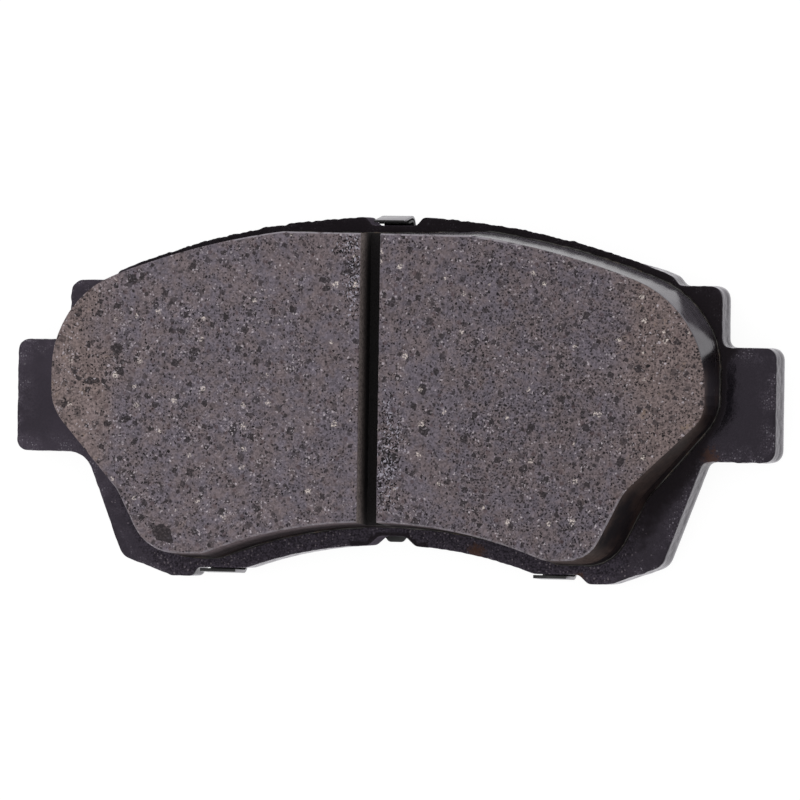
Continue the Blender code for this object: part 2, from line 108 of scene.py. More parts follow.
def runBeside(loop, edge, side):  # part of an outline beside x = edge, from its upper crossing to its lower one
    loop = loop[::-1] if side > 0 else loop
    beside = (loop[:, 0] - edge) * side > 1e-7
    first = next(i for i in range(len(loop)) if beside[i] and not beside[i - 1])
    loop = np.roll(loop, -first, axis=0)
    count = int(beside.sum())
    ends = []
    for inner, outer in ((0, -1), (count - 1, count % len(loop))):
        share = (edge - loop[outer][0]) / (loop[inner][0] - loop[outer][0])
        ends.append(loop[outer] + (loop[inner] - loop[outer]) * share)
    return np.vstack([ends[0], loop[:count], ends[1]])


def outwardNormals(loop):  # unit normals of a closed counter-clockwise outline
    along = np.roll(loop, -1, axis=0) - np.roll(loop, 1, axis=0)
    normals = np.column_stack([along[:, 1], -along[:, 0]])
    return normals / np.linalg.norm(normals, axis=1)[:, None]


def pointsInside(rim, gap, margin):  # staggered grid points that keep a margin to a closed outline
    ahead = np.roll(rim, -1, axis=0)

    def spans(y):
        over = (rim[:, 1] > y) != (ahead[:, 1] > y)
        here, there = rim[over], ahead[over]
        return np.sort(here[:, 0] + (y - here[:, 1]) / (there[:, 1] - here[:, 1]) * (there[:, 0] - here[:, 0]))

    points = []
    low, high = rim.min(axis=0), rim.max(axis=0)
    rows = np.arange(low[1] + margin, high[1] - margin, gap * math.sqrt(0.75))
    for row, y in enumerate(rows):
        xs = np.arange(low[0] + (row % 2) * gap / 2, high[0], gap)
        keep = np.ones(len(xs), bool)
        for level, inset in ((y - margin, 0.0), (y, margin), (y + margin, 0.0)):
            ends = spans(level)
            inside = np.zeros(len(xs), bool)
            for start, end in zip(ends[0::2], ends[1::2]):
                inside |= (xs > start + inset) & (xs < end - inset)
            keep &= inside
        points += [(x, y) for x in xs[keep]]
    return np.array(points).reshape(-1, 2)


def swirl(x, y, z, sizeMm, seed=0.0):  # smooth noise from -1 to 1, about sizeMm across
    return noise.noise(Vector((x, y, z)) * (1000.0 / sizeMm) + Vector((seed, 2.3 * seed, 5.1 * seed)))


# Drawing a piece: strips between rings, and triangulated caps

class Draft:
    def __init__(self):
        self.points = []
        self.faces = []
        self.finishes = []

    def add(self, points):
        first = len(self.points)
        self.points += [tuple(point) for point in points]
        return first

    def strip(self, rings, finish, closed=True):
        count = len(rings[0])
        starts = [self.add(ring) for ring in rings]
        for low, high in zip(starts, starts[1:]):
            for i in range(count if closed else count - 1):
                j = (i + 1) % count
                self.faces.append((low + i, low + j, high + j, high + i))
                self.finishes.append(finish)

    def cap(self, rims, inner, level, finish):  # rims: the outline, then its round holes
        flat = [Vector(point) / mm for points in (*rims, inner) for point in points]
        edges = []
        for rim in rims:
            first = len(edges)
            edges += [(first + i, first + (i + 1) % len(rim)) for i in range(len(rim))]
        verts, unused, triangles = delaunay_2d_cdt(flat, edges, [], 1, 1e-6)[:3]
        start = self.add((vert.x * mm, vert.y * mm, level) for vert in verts)
        holes = [(rim.mean(axis=0) / mm, np.linalg.norm(rim[0] - rim.mean(axis=0)) / mm) for rim in rims[1:]]
        for triangle in triangles:
            middle = np.mean([verts[i][:] for i in triangle], axis=0)
            if all(np.linalg.norm(middle - centre) > radius for centre, radius in holes):
                self.faces.append(tuple(start + i for i in triangle))
                self.finishes.append(finish)

    def piece(self, name, materials, sharpAngle):
        mesh = bpy.data.meshes.new(name)
        mesh.from_pydata(self.points, [], self.faces)
        for material in materials:
            mesh.materials.append(material)
        mesh.polygons.foreach_set("material_index", self.finishes)
        solid = bmesh.new()
        solid.from_mesh(mesh)
        bmesh.ops.remove_doubles(solid, verts=solid.verts, dist=2e-6)
        bmesh.ops.recalc_face_normals(solid, faces=solid.faces)
        solid.to_mesh(mesh)
        solid.free()
        mesh.shade_smooth()
        mesh.set_sharp_from_angle(angle=math.radians(sharpAngle))
        made = bpy.data.objects.new(name, mesh)
        bpy.context.scene.collection.objects.link(made)
        return made


def readPoints(made):
    flat = np.empty(len(made.data.vertices) * 3)
    made.data.vertices.foreach_get("co", flat)
    return flat.reshape(-1, 3)


def writePoints(made, points):  # nothing leaves the CAD box
    kept = np.clip(points, np.array(cadBox[0]), np.array(cadBox[1]))
    made.data.vertices.foreach_set("co", kept.ravel())
    made.data.update()


def writeShade(made, name, values):  # one number for each vertex, which a material reads
    layer = made.data.attributes.new(name, 'FLOAT', 'POINT')
    layer.data.foreach_set("value", np.asarray(values, np.float32))


# Node helpers

def newFinish(name):
    finish = bpy.data.materials.new(name)
    finish.use_nodes = True
    return finish, finish.node_tree, finish.node_tree.nodes["Principled BSDF"]


def addNode(tree, kind, inputs=None, **settings):
    made = tree.nodes.new(kind)
    for name, value in settings.items():
        setattr(made, name, value)
    for name, value in (inputs or {}).items():
        if isinstance(value, bpy.types.NodeSocket):
            tree.links.new(value, made.inputs[name])
        else:
            made.inputs[name].default_value = value
    return made


def millimetres(tree, stretch=(1.0, 1.0, 1.0)):  # object coordinates in millimetres
    place = addNode(tree, "ShaderNodeTexCoord").outputs["Object"]
    scale = addNode(tree, "ShaderNodeVectorMath", {0: place, 1: [1000.0 * s for s in stretch]}, operation='MULTIPLY')
    return scale.outputs[0]


def grain(tree, place, sizeMm, detail=2.0, roughness=0.5):
    made = addNode(tree, "ShaderNodeTexNoise", {"Vector": place, "Scale": 1.0 / sizeMm, "Detail": detail,
                                                 "Roughness": roughness})
    return made.outputs["Fac"]


def maths(tree, operation, a, b=0.0, c=0.0):
    return addNode(tree, "ShaderNodeMath", {0: a, 1: b, 2: c}, operation=operation).outputs[0]


def remap(tree, value, fromLow, fromHigh, toLow=0.0, toHigh=1.0, smooth=True):
    kind = 'SMOOTHSTEP' if smooth else 'LINEAR'
    sockets = {"Value": value, "From Min": fromLow, "From Max": fromHigh, "To Min": toLow, "To Max": toHigh}
    return addNode(tree, "ShaderNodeMapRange", sockets, interpolation_type=kind).outputs["Result"]


def mixed(tree, share, a, b, blend='MIX'):
    made = addNode(tree, "ShaderNodeMix", data_type='RGBA', blend_type=blend)
    for index, value in ((0, share), (6, a), (7, b)):
        if isinstance(value, bpy.types.NodeSocket):
            tree.links.new(value, made.inputs[index])
        else:
            made.inputs[index].default_value = value if index == 0 else (*value, 1.0)
    return made.outputs[2]


def warped(tree, place, sizeMm, byMm):  # place pushed about by noise, so that flecks get ragged edges
    push = addNode(tree, "ShaderNodeTexNoise", {"Vector": place, "Scale": 1.0 / sizeMm, "Detail": 1.0})
    centred = addNode(tree, "ShaderNodeVectorMath", {0: push.outputs["Color"], 1: (0.5, 0.5, 0.5)},
                      operation='SUBTRACT')
    moved = addNode(tree, "ShaderNodeVectorMath", {0: centred.outputs[0], 1: (byMm,) * 3, 2: place},
                    operation='MULTIPLY_ADD')
    return moved.outputs[0]


def flecks(tree, place, cellMm, share, radius, edge=0.06, flat=False):
    # one fleck in a share of the cells, with a radius between two parts of a cell
    cells = addNode(tree, "ShaderNodeTexVoronoi", {"Vector": place, "Scale": 1.0 / cellMm},
                    voronoi_dimensions='2D' if flat else '3D')
    dice = addNode(tree, "ShaderNodeSeparateColor", {"Color": cells.outputs["Color"]})
    reach = remap(tree, dice.outputs["Green"], 0.0, 1.0, *radius, smooth=False)
    depth = maths(tree, 'SUBTRACT', reach, cells.outputs["Distance"])
    body = remap(tree, depth, -edge, edge)
    picked = maths(tree, 'LESS_THAN', dice.outputs["Red"], share)
    return maths(tree, 'MULTIPLY', body, picked)


def bumped(tree, shader, height, depthMm, strength=1.0):
    made = addNode(tree, "ShaderNodeBump", {"Height": height, "Strength": strength, "Distance": depthMm * mm})
    tree.links.new(made.outputs["Normal"], shader.inputs["Normal"])


def shade(name, tree):
    return addNode(tree, "ShaderNodeAttribute", attribute_name=name).outputs["Fac"]


# Friction face: grey-violet mix with dark and pale grains, browner at the ends
frictionLook = {
    "violet": (0.131, 0.113, 0.135), "warm": (0.146, 0.117, 0.124), "endTint": (0.186, 0.141, 0.132),
    "endStart": 43.0, "endFull": 52.0, "grainMm": 0.27, "grainRange": (0.66, 1.34), "hazeRange": (0.88, 1.13),
    "pepper": (0.010, 0.0085, 0.0095), "fleck": (0.030, 0.0245, 0.027), "russet": (0.074, 0.046, 0.048),
    "chip": (0.029, 0.0240, 0.0265), "lilac": (0.46, 0.41, 0.44), "salt": (0.33, 0.31, 0.36), "cream": (0.66, 0.58, 0.54), "tan": (0.235, 0.170, 0.125),
    "rim": (0.31, 0.285, 0.315), "slotFloorShade": (0.016, 0.0143, 0.0150), "slotWall": (0.180, 0.150, 0.144),
    "roughness": 0.80, "shine": 0.16,
}


def tinted(tree, colour, factor):  # colour made lighter or darker by a factor
    grey = addNode(tree, "ShaderNodeCombineColor", {0: factor, 1: factor, 2: factor}).outputs[0]
    return mixed(tree, 1.0, colour, grey, 'MULTIPLY')


def cellShade(tree, place, cellMm, channel="Red"):  # one random number for each small cell
    cells = addNode(tree, "ShaderNodeTexVoronoi", {"Vector": place, "Scale": 1.0 / cellMm}, voronoi_dimensions='2D')
    return addNode(tree, "ShaderNodeSeparateColor", {"Color": cells.outputs["Color"]}).outputs[channel]


def brokenGrains(tree, place, cellMm, share, radius, metric):  # angular grains, and the chipped rim beside them
    cells = addNode(tree, "ShaderNodeTexVoronoi", {"Vector": place, "Scale": 1.0 / cellMm}, distance=metric,
                    voronoi_dimensions='2D')
    dice = addNode(tree, "ShaderNodeSeparateColor", {"Color": cells.outputs["Color"]}).outputs
    reach = remap(tree, dice["Green"], 0.0, 1.0, *radius, smooth=False)
    depth = maths(tree, 'MULTIPLY', maths(tree, 'SUBTRACT', reach, cells.outputs["Distance"]), cellMm)
    picked = maths(tree, 'LESS_THAN', dice["Red"], share)
    body = maths(tree, 'MULTIPLY', remap(tree, depth, -0.05, 0.05), picked)
    beside = maths(tree, 'MULTIPLY', remap(tree, depth, -0.42, -0.10), maths(tree, 'SUBTRACT', 1.0, body))
    return maths(tree, 'MULTIPLY', body, remap(tree, dice["Blue"], 0.0, 1.0, 0.55, 1.0)), maths(tree, 'MULTIPLY', beside, picked)


def frictionFinish():
    look = frictionLook
    finish, tree, shader = newFinish("frictionMix")
    place = millimetres(tree)
    ragged = warped(tree, place, 0.45, 0.42)
    split = addNode(tree, "ShaderNodeSeparateXYZ", {0: place})
    colour = mixed(tree, remap(tree, grain(tree, place, 4.0, 5.0, 0.75), 0.38, 0.62), look["violet"], look["warm"])
    # ends worn browner, with streaks from grinding
    away = maths(tree, 'ABSOLUTE', maths(tree, 'ADD', split.outputs["X"], 2.0))
    wavy = maths(tree, 'MULTIPLY_ADD', grain(tree, place, 9.0, 3.0), 14.0, maths(tree, 'SUBTRACT', away, 7.0))
    ends = remap(tree, wavy, look["endStart"], look["endFull"])
    colour = mixed(tree, maths(tree, 'MULTIPLY', ends, 0.75), colour, look["endTint"])
    streak = grain(tree, millimetres(tree, (1.0, 0.07, 1.0)), 0.34, 2.0, 0.6)
    streaked = remap(tree, streak, 0.30, 0.70, -0.17, 0.17, smooth=False)
    colour = tinted(tree, colour, maths(tree, 'MULTIPLY_ADD', streaked, maths(tree, 'MULTIPLY_ADD', ends, 0.8, 0.2), 1.0))
    # granules, each with its own brightness, a soft unevenness and a darker right half
    granule = remap(tree, cellShade(tree, place, look["grainMm"]), 0.0, 1.0, *look["grainRange"], smooth=False)
    haze = remap(tree, grain(tree, place, 1.3, 4.0, 0.7), 0.30, 0.70, *look["hazeRange"], smooth=False)
    lean = remap(tree, split.outputs["X"], -45.0, 45.0, 1.10, 0.99)
    colour = tinted(tree, colour, maths(tree, 'MULTIPLY', lean, maths(tree, 'MULTIPLY', granule, haze)))
    tan = maths(tree, 'MULTIPLY', remap(tree, grain(tree, ragged, 2.6, 3.0, 0.65), 0.62, 0.74), maths(tree, 'MULTIPLY_ADD', ends, 0.45, 0.15))
    colour = mixed(tree, tan, colour, look["tan"])
    # dark grains from fine to coarse, crowded in some places
    crowd = maths(tree, 'MULTIPLY_ADD', shade("crowd", tree), 0.45, remap(tree, grain(tree, place, 5.0, 4.0, 0.65), 0.36, 0.64, 0.12, 0.72))
    crowd = maths(tree, 'ADD', crowd, remap(tree, split.outputs["X"], 2.0, 26.0, 0.0, 0.36))
    wobbly = warped(tree, warped(tree, place, 0.85, 0.75), 0.22, 0.30)
    pepper = flecks(tree, wobbly, 0.50, crowd, (0.14, 0.42), 0.05, flat=True)
    pepperDepth = remap(tree, cellShade(tree, wobbly, 0.50, "Blue"), 0.0, 1.0, 0.50, 1.0, smooth=False)
    colour = mixed(tree, maths(tree, 'MULTIPLY', pepper, pepperDepth), colour, look["pepper"])
    # loosened patches, where fine black and pale grains lie side by side
    loose = shade("loose", tree)
    toss = cellShade(tree, wobbly, 0.24, "Green")
    colour = mixed(tree, maths(tree, 'LESS_THAN', toss, maths(tree, 'MULTIPLY', loose, 0.46)), colour, look["pepper"])
    colour = mixed(tree, maths(tree, 'GREATER_THAN', toss, maths(tree, 'MULTIPLY_ADD', loose, -0.24, 1.0)), colour, look["salt"])
    russet = flecks(tree, ragged, 1.7, 0.30, (0.09, 0.25), 0.05, flat=True)
    colour = mixed(tree, maths(tree, 'MULTIPLY', russet, 0.50), colour, look["russet"])
    small = flecks(tree, ragged, 1.5, 0.42, (0.09, 0.26), 0.035, flat=True)
    depth = remap(tree, cellShade(tree, ragged, 1.5, "Blue"), 0.0, 1.0, 0.35, 0.95, smooth=False)
    colour = mixed(tree, maths(tree, 'MULTIPLY', small, depth), colour, look["fleck"])
    torn = warped(tree, warped(tree, place, 0.9, 0.9), 0.22, 0.22)
    turned = addNode(tree, "ShaderNodeVectorRotate", {"Vector": torn, "Angle": 0.35}, rotation_type='Z_AXIS').outputs[0]
    coarse = remap(tree, split.outputs["X"], -48.0, -8.0, 0.72, 0.42)
    square, squareRim = brokenGrains(tree, turned, 3.4, coarse, (0.09, 0.195), 'CHEBYCHEV')
    tilted = addNode(tree, "ShaderNodeVectorRotate", {"Vector": torn, "Angle": 1.2}, rotation_type='Z_AXIS').outputs[0]
    slanted, slantedRim = brokenGrains(tree, tilted, 2.9, coarse, (0.09, 0.235), 'MANHATTAN')
    big = remap(tree, maths(tree, 'MULTIPLY_ADD', grain(tree, place, 0.5, 3.0, 0.65), 1.1, shade("inclusion", tree)), 1.02, 1.12)
    chip = maths(tree, 'MAXIMUM', maths(tree, 'MAXIMUM', square, slanted), big)
    mottle = remap(tree, grain(tree, place, 0.35, 2.0), 0.32, 0.62, 0.68, 1.0)
    colour = mixed(tree, maths(tree, 'MULTIPLY', chip, mottle), colour, look["chip"])
    # pale chips: fine lilac specks in loose groups, crumbs beside the dark grains, and a few cream lumps
    group = maths(tree, 'MULTIPLY', remap(tree, grain(tree, place, 2.8, 3.0, 0.6), 0.50, 0.68, 0.03, 0.40),
                  remap(tree, split.outputs["X"], -45.0, 5.0, 2.0, 1.2))
    specks = flecks(tree, wobbly, 0.53, group, (0.12, 0.38), 0.07, flat=True)
    speckDepth = remap(tree, cellShade(tree, wobbly, 0.53, "Blue"), 0.0, 1.0, 0.20, 1.0, smooth=False)
    crumbs = maths(tree, 'MULTIPLY', maths(tree, 'MAXIMUM', squareRim, slantedRim), remap(tree, grain(tree, place, 0.36, 1.0), 0.60, 0.68))
    colour = mixed(tree, maths(tree, 'MAXIMUM', maths(tree, 'MULTIPLY', specks, speckDepth), maths(tree, 'MULTIPLY', crumbs, 0.55)),
                   colour, look["lilac"])
    lumps = flecks(tree, warped(tree, place, 0.35, 0.9), 4.0, 0.22, (0.05, 0.14), 0.03, flat=True)
    lumps = maths(tree, 'MAXIMUM', lumps, remap(tree, shade("pale", tree), 0.35, 0.60))
    lumpDepth = remap(tree, grain(tree, place, 0.32, 2.0), 0.46, 0.60, 0.05, 0.92)
    colour = mixed(tree, maths(tree, 'MULTIPLY', lumps, lumpDepth), colour, look["cream"])
    # worn rim of the face, lighter along its edges partly as a painted highlight, and the slot, darker towards its
    # floor as painted shade
    worn = maths(tree, 'MULTIPLY', shade("rim", tree), remap(tree, grain(tree, place, 1.2, 3.0), 0.32, 0.52))
    colour = mixed(tree, maths(tree, 'MULTIPLY', worn, 0.9), colour, look["rim"])
    # painted shade: the slot's walls darken to a near-black floor
    slotShadeShare = remap(tree, shade("slotDepth", tree), 0.18, 0.85)
    sawn = tinted(tree, look["slotWall"], remap(tree, grain(tree, place, 0.5, 4.0, 0.7), 0.3, 0.7, 0.55, 1.45))
    wallTone = mixed(tree, slotShadeShare, sawn, look["slotFloorShade"])
    colour = mixed(tree, remap(tree, shade("slotDepth", tree), 0.0, 0.05), colour, wallTone)
    tree.links.new(colour, shader.inputs["Base Color"])
    shader.inputs["Roughness"].default_value = look["roughness"]
    shader.inputs["Specular IOR Level"].default_value = look["shine"]
    relief = maths(tree, 'SUBTRACT', maths(tree, 'MULTIPLY', granule, 0.5), maths(tree, 'MAXIMUM', pepper, chip))
    bumped(tree, shader, relief, 0.08, 0.5)
    return finish


# Skin of the lining's sides: glossy dark overspray, duller and browner at the lower flanks, and paler on the upper
# walls as dust with a painted highlight
skinLook = {"black": (0.0060, 0.0045, 0.0050), "brown": (0.018, 0.0110, 0.0095), "speck": (0.16, 0.14, 0.13),
            "dust": (0.068, 0.061, 0.072), "dustAndHighlightFrom": 10.0, "dustAndHighlightTo": 15.0, "gloss": 0.20, "dull": 0.56, "shines": (0.5, 0.32, 0.18, 0.08),
            "underDust": (0.118, 0.092, 0.100), "underDark": (0.022, 0.0165, 0.0175), "underRoughness": 0.88,
            "flankDust": (0.052, 0.036, 0.031), "flankFrom": 24.0, "flankTo": 40.0, "flankRise": (14.8, 17.6),
            "glossFrom": 1.0, "glossTo": 11.0, "tint": (1.0, 0.88, 1.10, 1.0)}


def skinFinish(name, shine):
    look = skinLook
    finish, tree, shader = newFinish(name)
    place = millimetres(tree)
    split = addNode(tree, "ShaderNodeSeparateXYZ", {0: place})
    height = split.outputs["Y"]
    upper = remap(tree, height, look["glossFrom"], look["glossTo"])
    cloud = grain(tree, place, 5.0, 4.0, 0.65)
    drawn = grain(tree, millimetres(tree, (0.12, 0.12, 1.0)), 0.5, 3.0, 0.6)
    dusty = maths(tree, 'MULTIPLY', remap(tree, cloud, 0.40, 0.68), remap(tree, upper, 0.0, 1.0, 1.0, 0.35))
    colour = mixed(tree, dusty, look["black"], look["brown"])
    # a paler lavender film high on the upper walls: partly dust, partly a painted highlight of the bright floor they
    # mirror
    powder = maths(tree, 'MULTIPLY', remap(tree, height, look["dustAndHighlightFrom"], look["dustAndHighlightTo"]), remap(tree, drawn, 0.30, 0.62, 0.55, 1.0))
    colour = mixed(tree, powder, colour, look["dust"])
    specks = flecks(tree, warped(tree, place, 0.5, 0.3), 2.2, 0.10, (0.05, 0.12), 0.05)
    colour = mixed(tree, maths(tree, 'MULTIPLY', specks, 0.6), colour, look["speck"])
    rubbed = maths(tree, 'MULTIPLY', remap(tree, split.outputs["Z"], *look["flankRise"]), remap(tree, cloud, 0.32, 0.60))
    rubbed = maths(tree, 'MULTIPLY', rubbed, remap(tree, upper, 0.0, 1.0, 0.75, 0.0))
    colour = mixed(tree, rubbed, colour, look["flankDust"])
    # matt dust on the walls that face down, paler towards the face
    under = shade("under", tree)
    settled = mixed(tree, remap(tree, split.outputs["Z"], 12.5, 17.2), look["underDark"], look["underDust"])
    flank = remap(tree, split.outputs["X"], look["flankFrom"], look["flankTo"])
    settled = mixed(tree, flank, settled, look["flankDust"])
    settled = tinted(tree, settled, remap(tree, grain(tree, place, 0.8, 4.0, 0.7), 0.3, 0.7, 0.65, 1.3))
    colour = mixed(tree, maths(tree, 'MULTIPLY', under, 0.92), colour, settled)
    tree.links.new(colour, shader.inputs["Base Color"])
    satin = maths(tree, 'MULTIPLY_ADD', drawn, 0.12, remap(tree, upper, 0.0, 1.0, look["dull"], look["gloss"]))
    rough = maths(tree, 'MAXIMUM', maths(tree, 'SUBTRACT', satin, 0.06), maths(tree, 'MULTIPLY', under, look["underRoughness"]))
    tree.links.new(rough, shader.inputs["Roughness"])
    shader.inputs["Specular IOR Level"].default_value = shine
    shader.inputs["Specular Tint"].default_value = look["tint"]
    bumped(tree, shader, maths(tree, 'ADD', drawn, grain(tree, place, 0.6, 3.0)), 0.04, 0.22)
    return finish


# Lining: the friction block on its underlayer
block = {
    "lowLevel": 10.45 * mm, "highLevel": 17.45 * mm,  # where the CAD outlines are read
    "columnGap": 0.42 * mm, "wallRows": 11, "gapColumns": 8, "slotRows": 130,
    "edgeBreak": 0.34 * mm, "slotBreak": 0.12 * mm, "slotNibble": 0.13 * mm, "breakSteps": 4,
    "faceGap": 0.34 * mm, "faceMargin": 0.2 * mm, "hiddenGap": 4.0 * mm,
    "belly": 0.50 * mm, "wallWave": 0.035 * mm, "edgeNibble": 0.16 * mm, "grindDepth": 0.018 * mm,
    "inclusions": 40, "inclusionSize": (0.45, 0.80), "pitDepth": 0.08 * mm, "seed": 7,
    "oversprayEnd": 1.5 * mm, "oversprayBand": 1.7 * mm,  # where the gloss starts to fade, and each step of it
}
# the largest dark grains of the face: x, y and half size in millimetres
largeGrains = [(-38.2, -24.0, 1.45), (-58.0, 14.6, 0.9), (-47.3, 8.4, 0.85), (-46.7, 4.5, 0.8), (-52.0, 2.5, 0.7),
               (-44.5, 20.5, 0.9), (-34.2, 27.0, 0.7), (-31.2, 27.5, 0.8), (28.5, -4.5, 0.75), (47.5, 6.0, 0.7)]
# pale chips of the face: x, y and half size in millimetres
paleChips = [(1.0, 25.6, 0.42), (0.9, 24.0, 0.36), (5.6, 7.6, 0.5), (15.8, 12.0, 0.42), (-36.5, -0.7, 0.55), (-31.2, 1.5, 0.45),
             (-43.0, 6.2, 0.5), (-33.6, -10.2, 0.4), (30.6, 20.4, 0.4), (40.8, -2.0, 0.45), (-22.0, 17.0, 0.4)]
# where fine dark grains crowd, and where black and pale ones lie loose: x, y, half width and half height
grainCrowds = [(37.5, 1.5, 7.0, 8.0), (20.0, -12.0, 8.0, 7.0), (47.0, -6.0, 6.0, 9.0), (24.0, 14.0, 8.0, 5.0),
               (-50.0, 6.0, 6.0, 7.0), (-40.0, -18.0, 8.0, 5.0)]
looseGrains = [(-3.6, 21.5, 2.6, 8.5), (-4.4, 27.0, 4.2, 3.0), (2.8, -10.0, 3.2, 12.5)]

blockLow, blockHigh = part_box("friction_block")
underLow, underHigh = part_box("underlayer")
filmLow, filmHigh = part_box("bond_film")
plateLow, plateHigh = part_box("backing_plate")
lowLoop = sectionLoops("friction_block", block["lowLevel"])[0]
highLoops = sorted(sectionLoops("friction_block", block["highLevel"]), key=lambda loop: loop[:, 0].mean())
slotLeft, slotRight = highLoops[0][:, 0].max(), highLoops[1][:, 0].min()
slotGap, slotMiddle = slotRight - slotLeft, (slotLeft + slotRight) / 2


def wallRuns():  # the lining's outline left and right of the slot, low and high, with matching points
    runs = {}
    for side, edge, highLoop in ((-1, slotLeft, highLoops[0]), (1, slotRight, highLoops[1])):
        low, high = runBeside(lowLoop, edge, side), runBeside(highLoop, edge, side)
        length = np.sum(np.linalg.norm(np.diff(low, axis=0), axis=1))
        count = int(length / block["columnGap"])
        runs[side] = evenRun(low, count), evenRun(high, count)
    return runs


liningRuns = wallRuns()


def runAt(side, level):
    low, high = liningRuns[side]
    share = (level - block["lowLevel"]) / (block["highLevel"] - block["lowLevel"])
    run = low + (high - low) * share
    if side > 0:  # the drafted arch bellies out below the face
        rise = (level - plateHigh.z) / (blockHigh.z - plateHigh.z)
        weight = np.clip((run[:, 0] / mm - 4.0) / 14.0, 0.0, 1.0) * np.clip((run[:, 1] / mm - 5.0) / 6.0, 0.0, 1.0)
        along = np.gradient(run, axis=0)
        outward = np.column_stack([-along[:, 1], along[:, 0]]) / np.linalg.norm(along, axis=1)[:, None]
        run = run + outward * (block["belly"] * weight * (1.0 - rise ** 1.6))[:, None]
    return run


def acrossSlot(start, end, count):
    return np.array([start + (end - start) * i / count for i in range(count + 1)])


def liningOutline(level):  # whole outline below the slot, counter-clockwise
    right, left = runAt(1, level), runAt(-1, level)
    top = acrossSlot(right[0], left[0], block["gapColumns"])[1:-1]
    bottom = acrossSlot(left[-1], right[-1], block["gapColumns"])[1:-1]
    return np.vstack([right[::-1], top, left, bottom])


def withLevel(ring, level):
    return np.column_stack([ring, np.broadcast_to(level, len(ring))])


def halfRing(side, level):  # outline of one half beside the slot, counter-clockwise, and which points are in the slot
    run = runAt(side, level)
    wall = acrossSlot(run[0], run[-1], block["slotRows"])[1:-1]
    ring = np.vstack([run[::-1], wall]) if side > 0 else np.vstack([run, wall[::-1]])
    inSlot = np.arange(len(ring)) >= len(run)
    return ring, inSlot


def drawBlock():
    draft = Draft()
    floor = slotFloorLevel()
    bottom = underHigh.z
    face = blockHigh.z
    draft.strip([withLevel(liningOutline(level), level) for level in np.linspace(bottom, floor, 4)], 1)
    draft.cap([liningOutline(bottom)], pointsInside(liningOutline(bottom), block["hiddenGap"], 1.5 * mm), bottom, 1)
    lines = [acrossSlot(runAt(side, floor)[0], runAt(side, floor)[-1], block["slotRows"]) for side in (-1, 1)]
    columns = np.linspace(0.0, 1.0, block["gapColumns"] + 1)
    draft.strip([withLevel(lines[0] + (lines[1] - lines[0]) * share, floor) for share in columns], 0, closed=False)
    for side in (-1, 1):
        top = face - block["edgeBreak"]
        rings = []
        for level in np.linspace(floor, top, block["wallRows"]):
            ring, inSlot = halfRing(side, level)
            rings.append(withLevel(ring, level))
        ring, inSlot = halfRing(side, face)
        normals = outwardNormals(ring)
        size = np.where(inSlot, block["slotBreak"], block["edgeBreak"])
        for step in range(1, block["breakSteps"] + 1):
            turn = math.radians(90.0) * step / block["breakSteps"]
            inset = ring - normals * (size * (1.0 - math.cos(turn)))[:, None]
            rings.append(withLevel(inset, face - size * (1.0 - math.sin(turn))))
        wallStrip(draft, rings, inSlot)
        rim = rings[-1][:, :2]
        draft.cap([rim], pointsInside(rim, block["faceGap"], block["faceMargin"]), face, 0)
    fadeOverspray(draft, 1)
    return draft


def wallStrip(draft, rings, inSlot):  # slot walls show the mix, outer walls the skin, and the broken edge the mix again
    before = len(draft.faces)
    draft.strip(rings, 1)
    count = len(rings[0])
    for index in range(before, len(draft.faces)):
        column = (index - before) % count
        row = (index - before) // count
        if inSlot[column] or inSlot[(column + 1) % count] or row >= block["wallRows"] - 1:
            draft.finishes[index] = 0


def fadeOverspray(draft, glossy):  # the glossy overspray thins out in steps towards the lower flanks
    last = len(skinLook["shines"]) - 1
    for index, face in enumerate(draft.faces):
        if draft.finishes[index] == glossy:
            height = np.mean([draft.points[i][1] for i in face])
            step = math.ceil((block["oversprayEnd"] - height) / block["oversprayBand"])
            draft.finishes[index] += min(last, max(0, step))


def slotFloorLevel():
    slotPoints = [vert.co.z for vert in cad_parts["friction_block"].data.vertices
                  if slotLeft + mm < vert.co.x < slotRight - mm or abs(vert.co.x - slotLeft) < 1e-5]
    return min(z for z in slotPoints if z > blockLow.z + mm)


def grainShapes():  # angular grains: centre, half size and the flats that cut them
    dice = random.Random(block["seed"])
    centres = [(x * mm, y * mm, size * mm) for x, y, size in largeGrains]
    while len(centres) < block["inclusions"]:
        x, y = dice.uniform(blockLow.x, blockHigh.x), dice.uniform(blockLow.y, blockHigh.y)
        size = block["inclusionSize"][0] + (block["inclusionSize"][1] - block["inclusionSize"][0]) * dice.random() ** 2.0
        centres.append((x, y, size * mm))
    shapes = []
    for x, y, size in centres:
        sides = dice.randint(5, 8)
        turn = dice.uniform(0.0, math.tau)
        stretch = dice.uniform(1.0, 1.7)
        flats = [(math.cos(turn + math.tau * i / sides), math.sin(turn + math.tau * i / sides),
                  dice.uniform(0.75, 1.1)) for i in range(sides)]
        shapes.append((x, y, size, turn, stretch, flats))
    return shapes


def spotShare(x, y, spots):  # 1 in the middle of a spot, 0 at its edge and outside
    reach = min(math.hypot((x / mm - spotX) / wide, (y / mm - spotY) / tall) for spotX, spotY, wide, tall in spots)
    return max(0.0, 1.0 - reach)


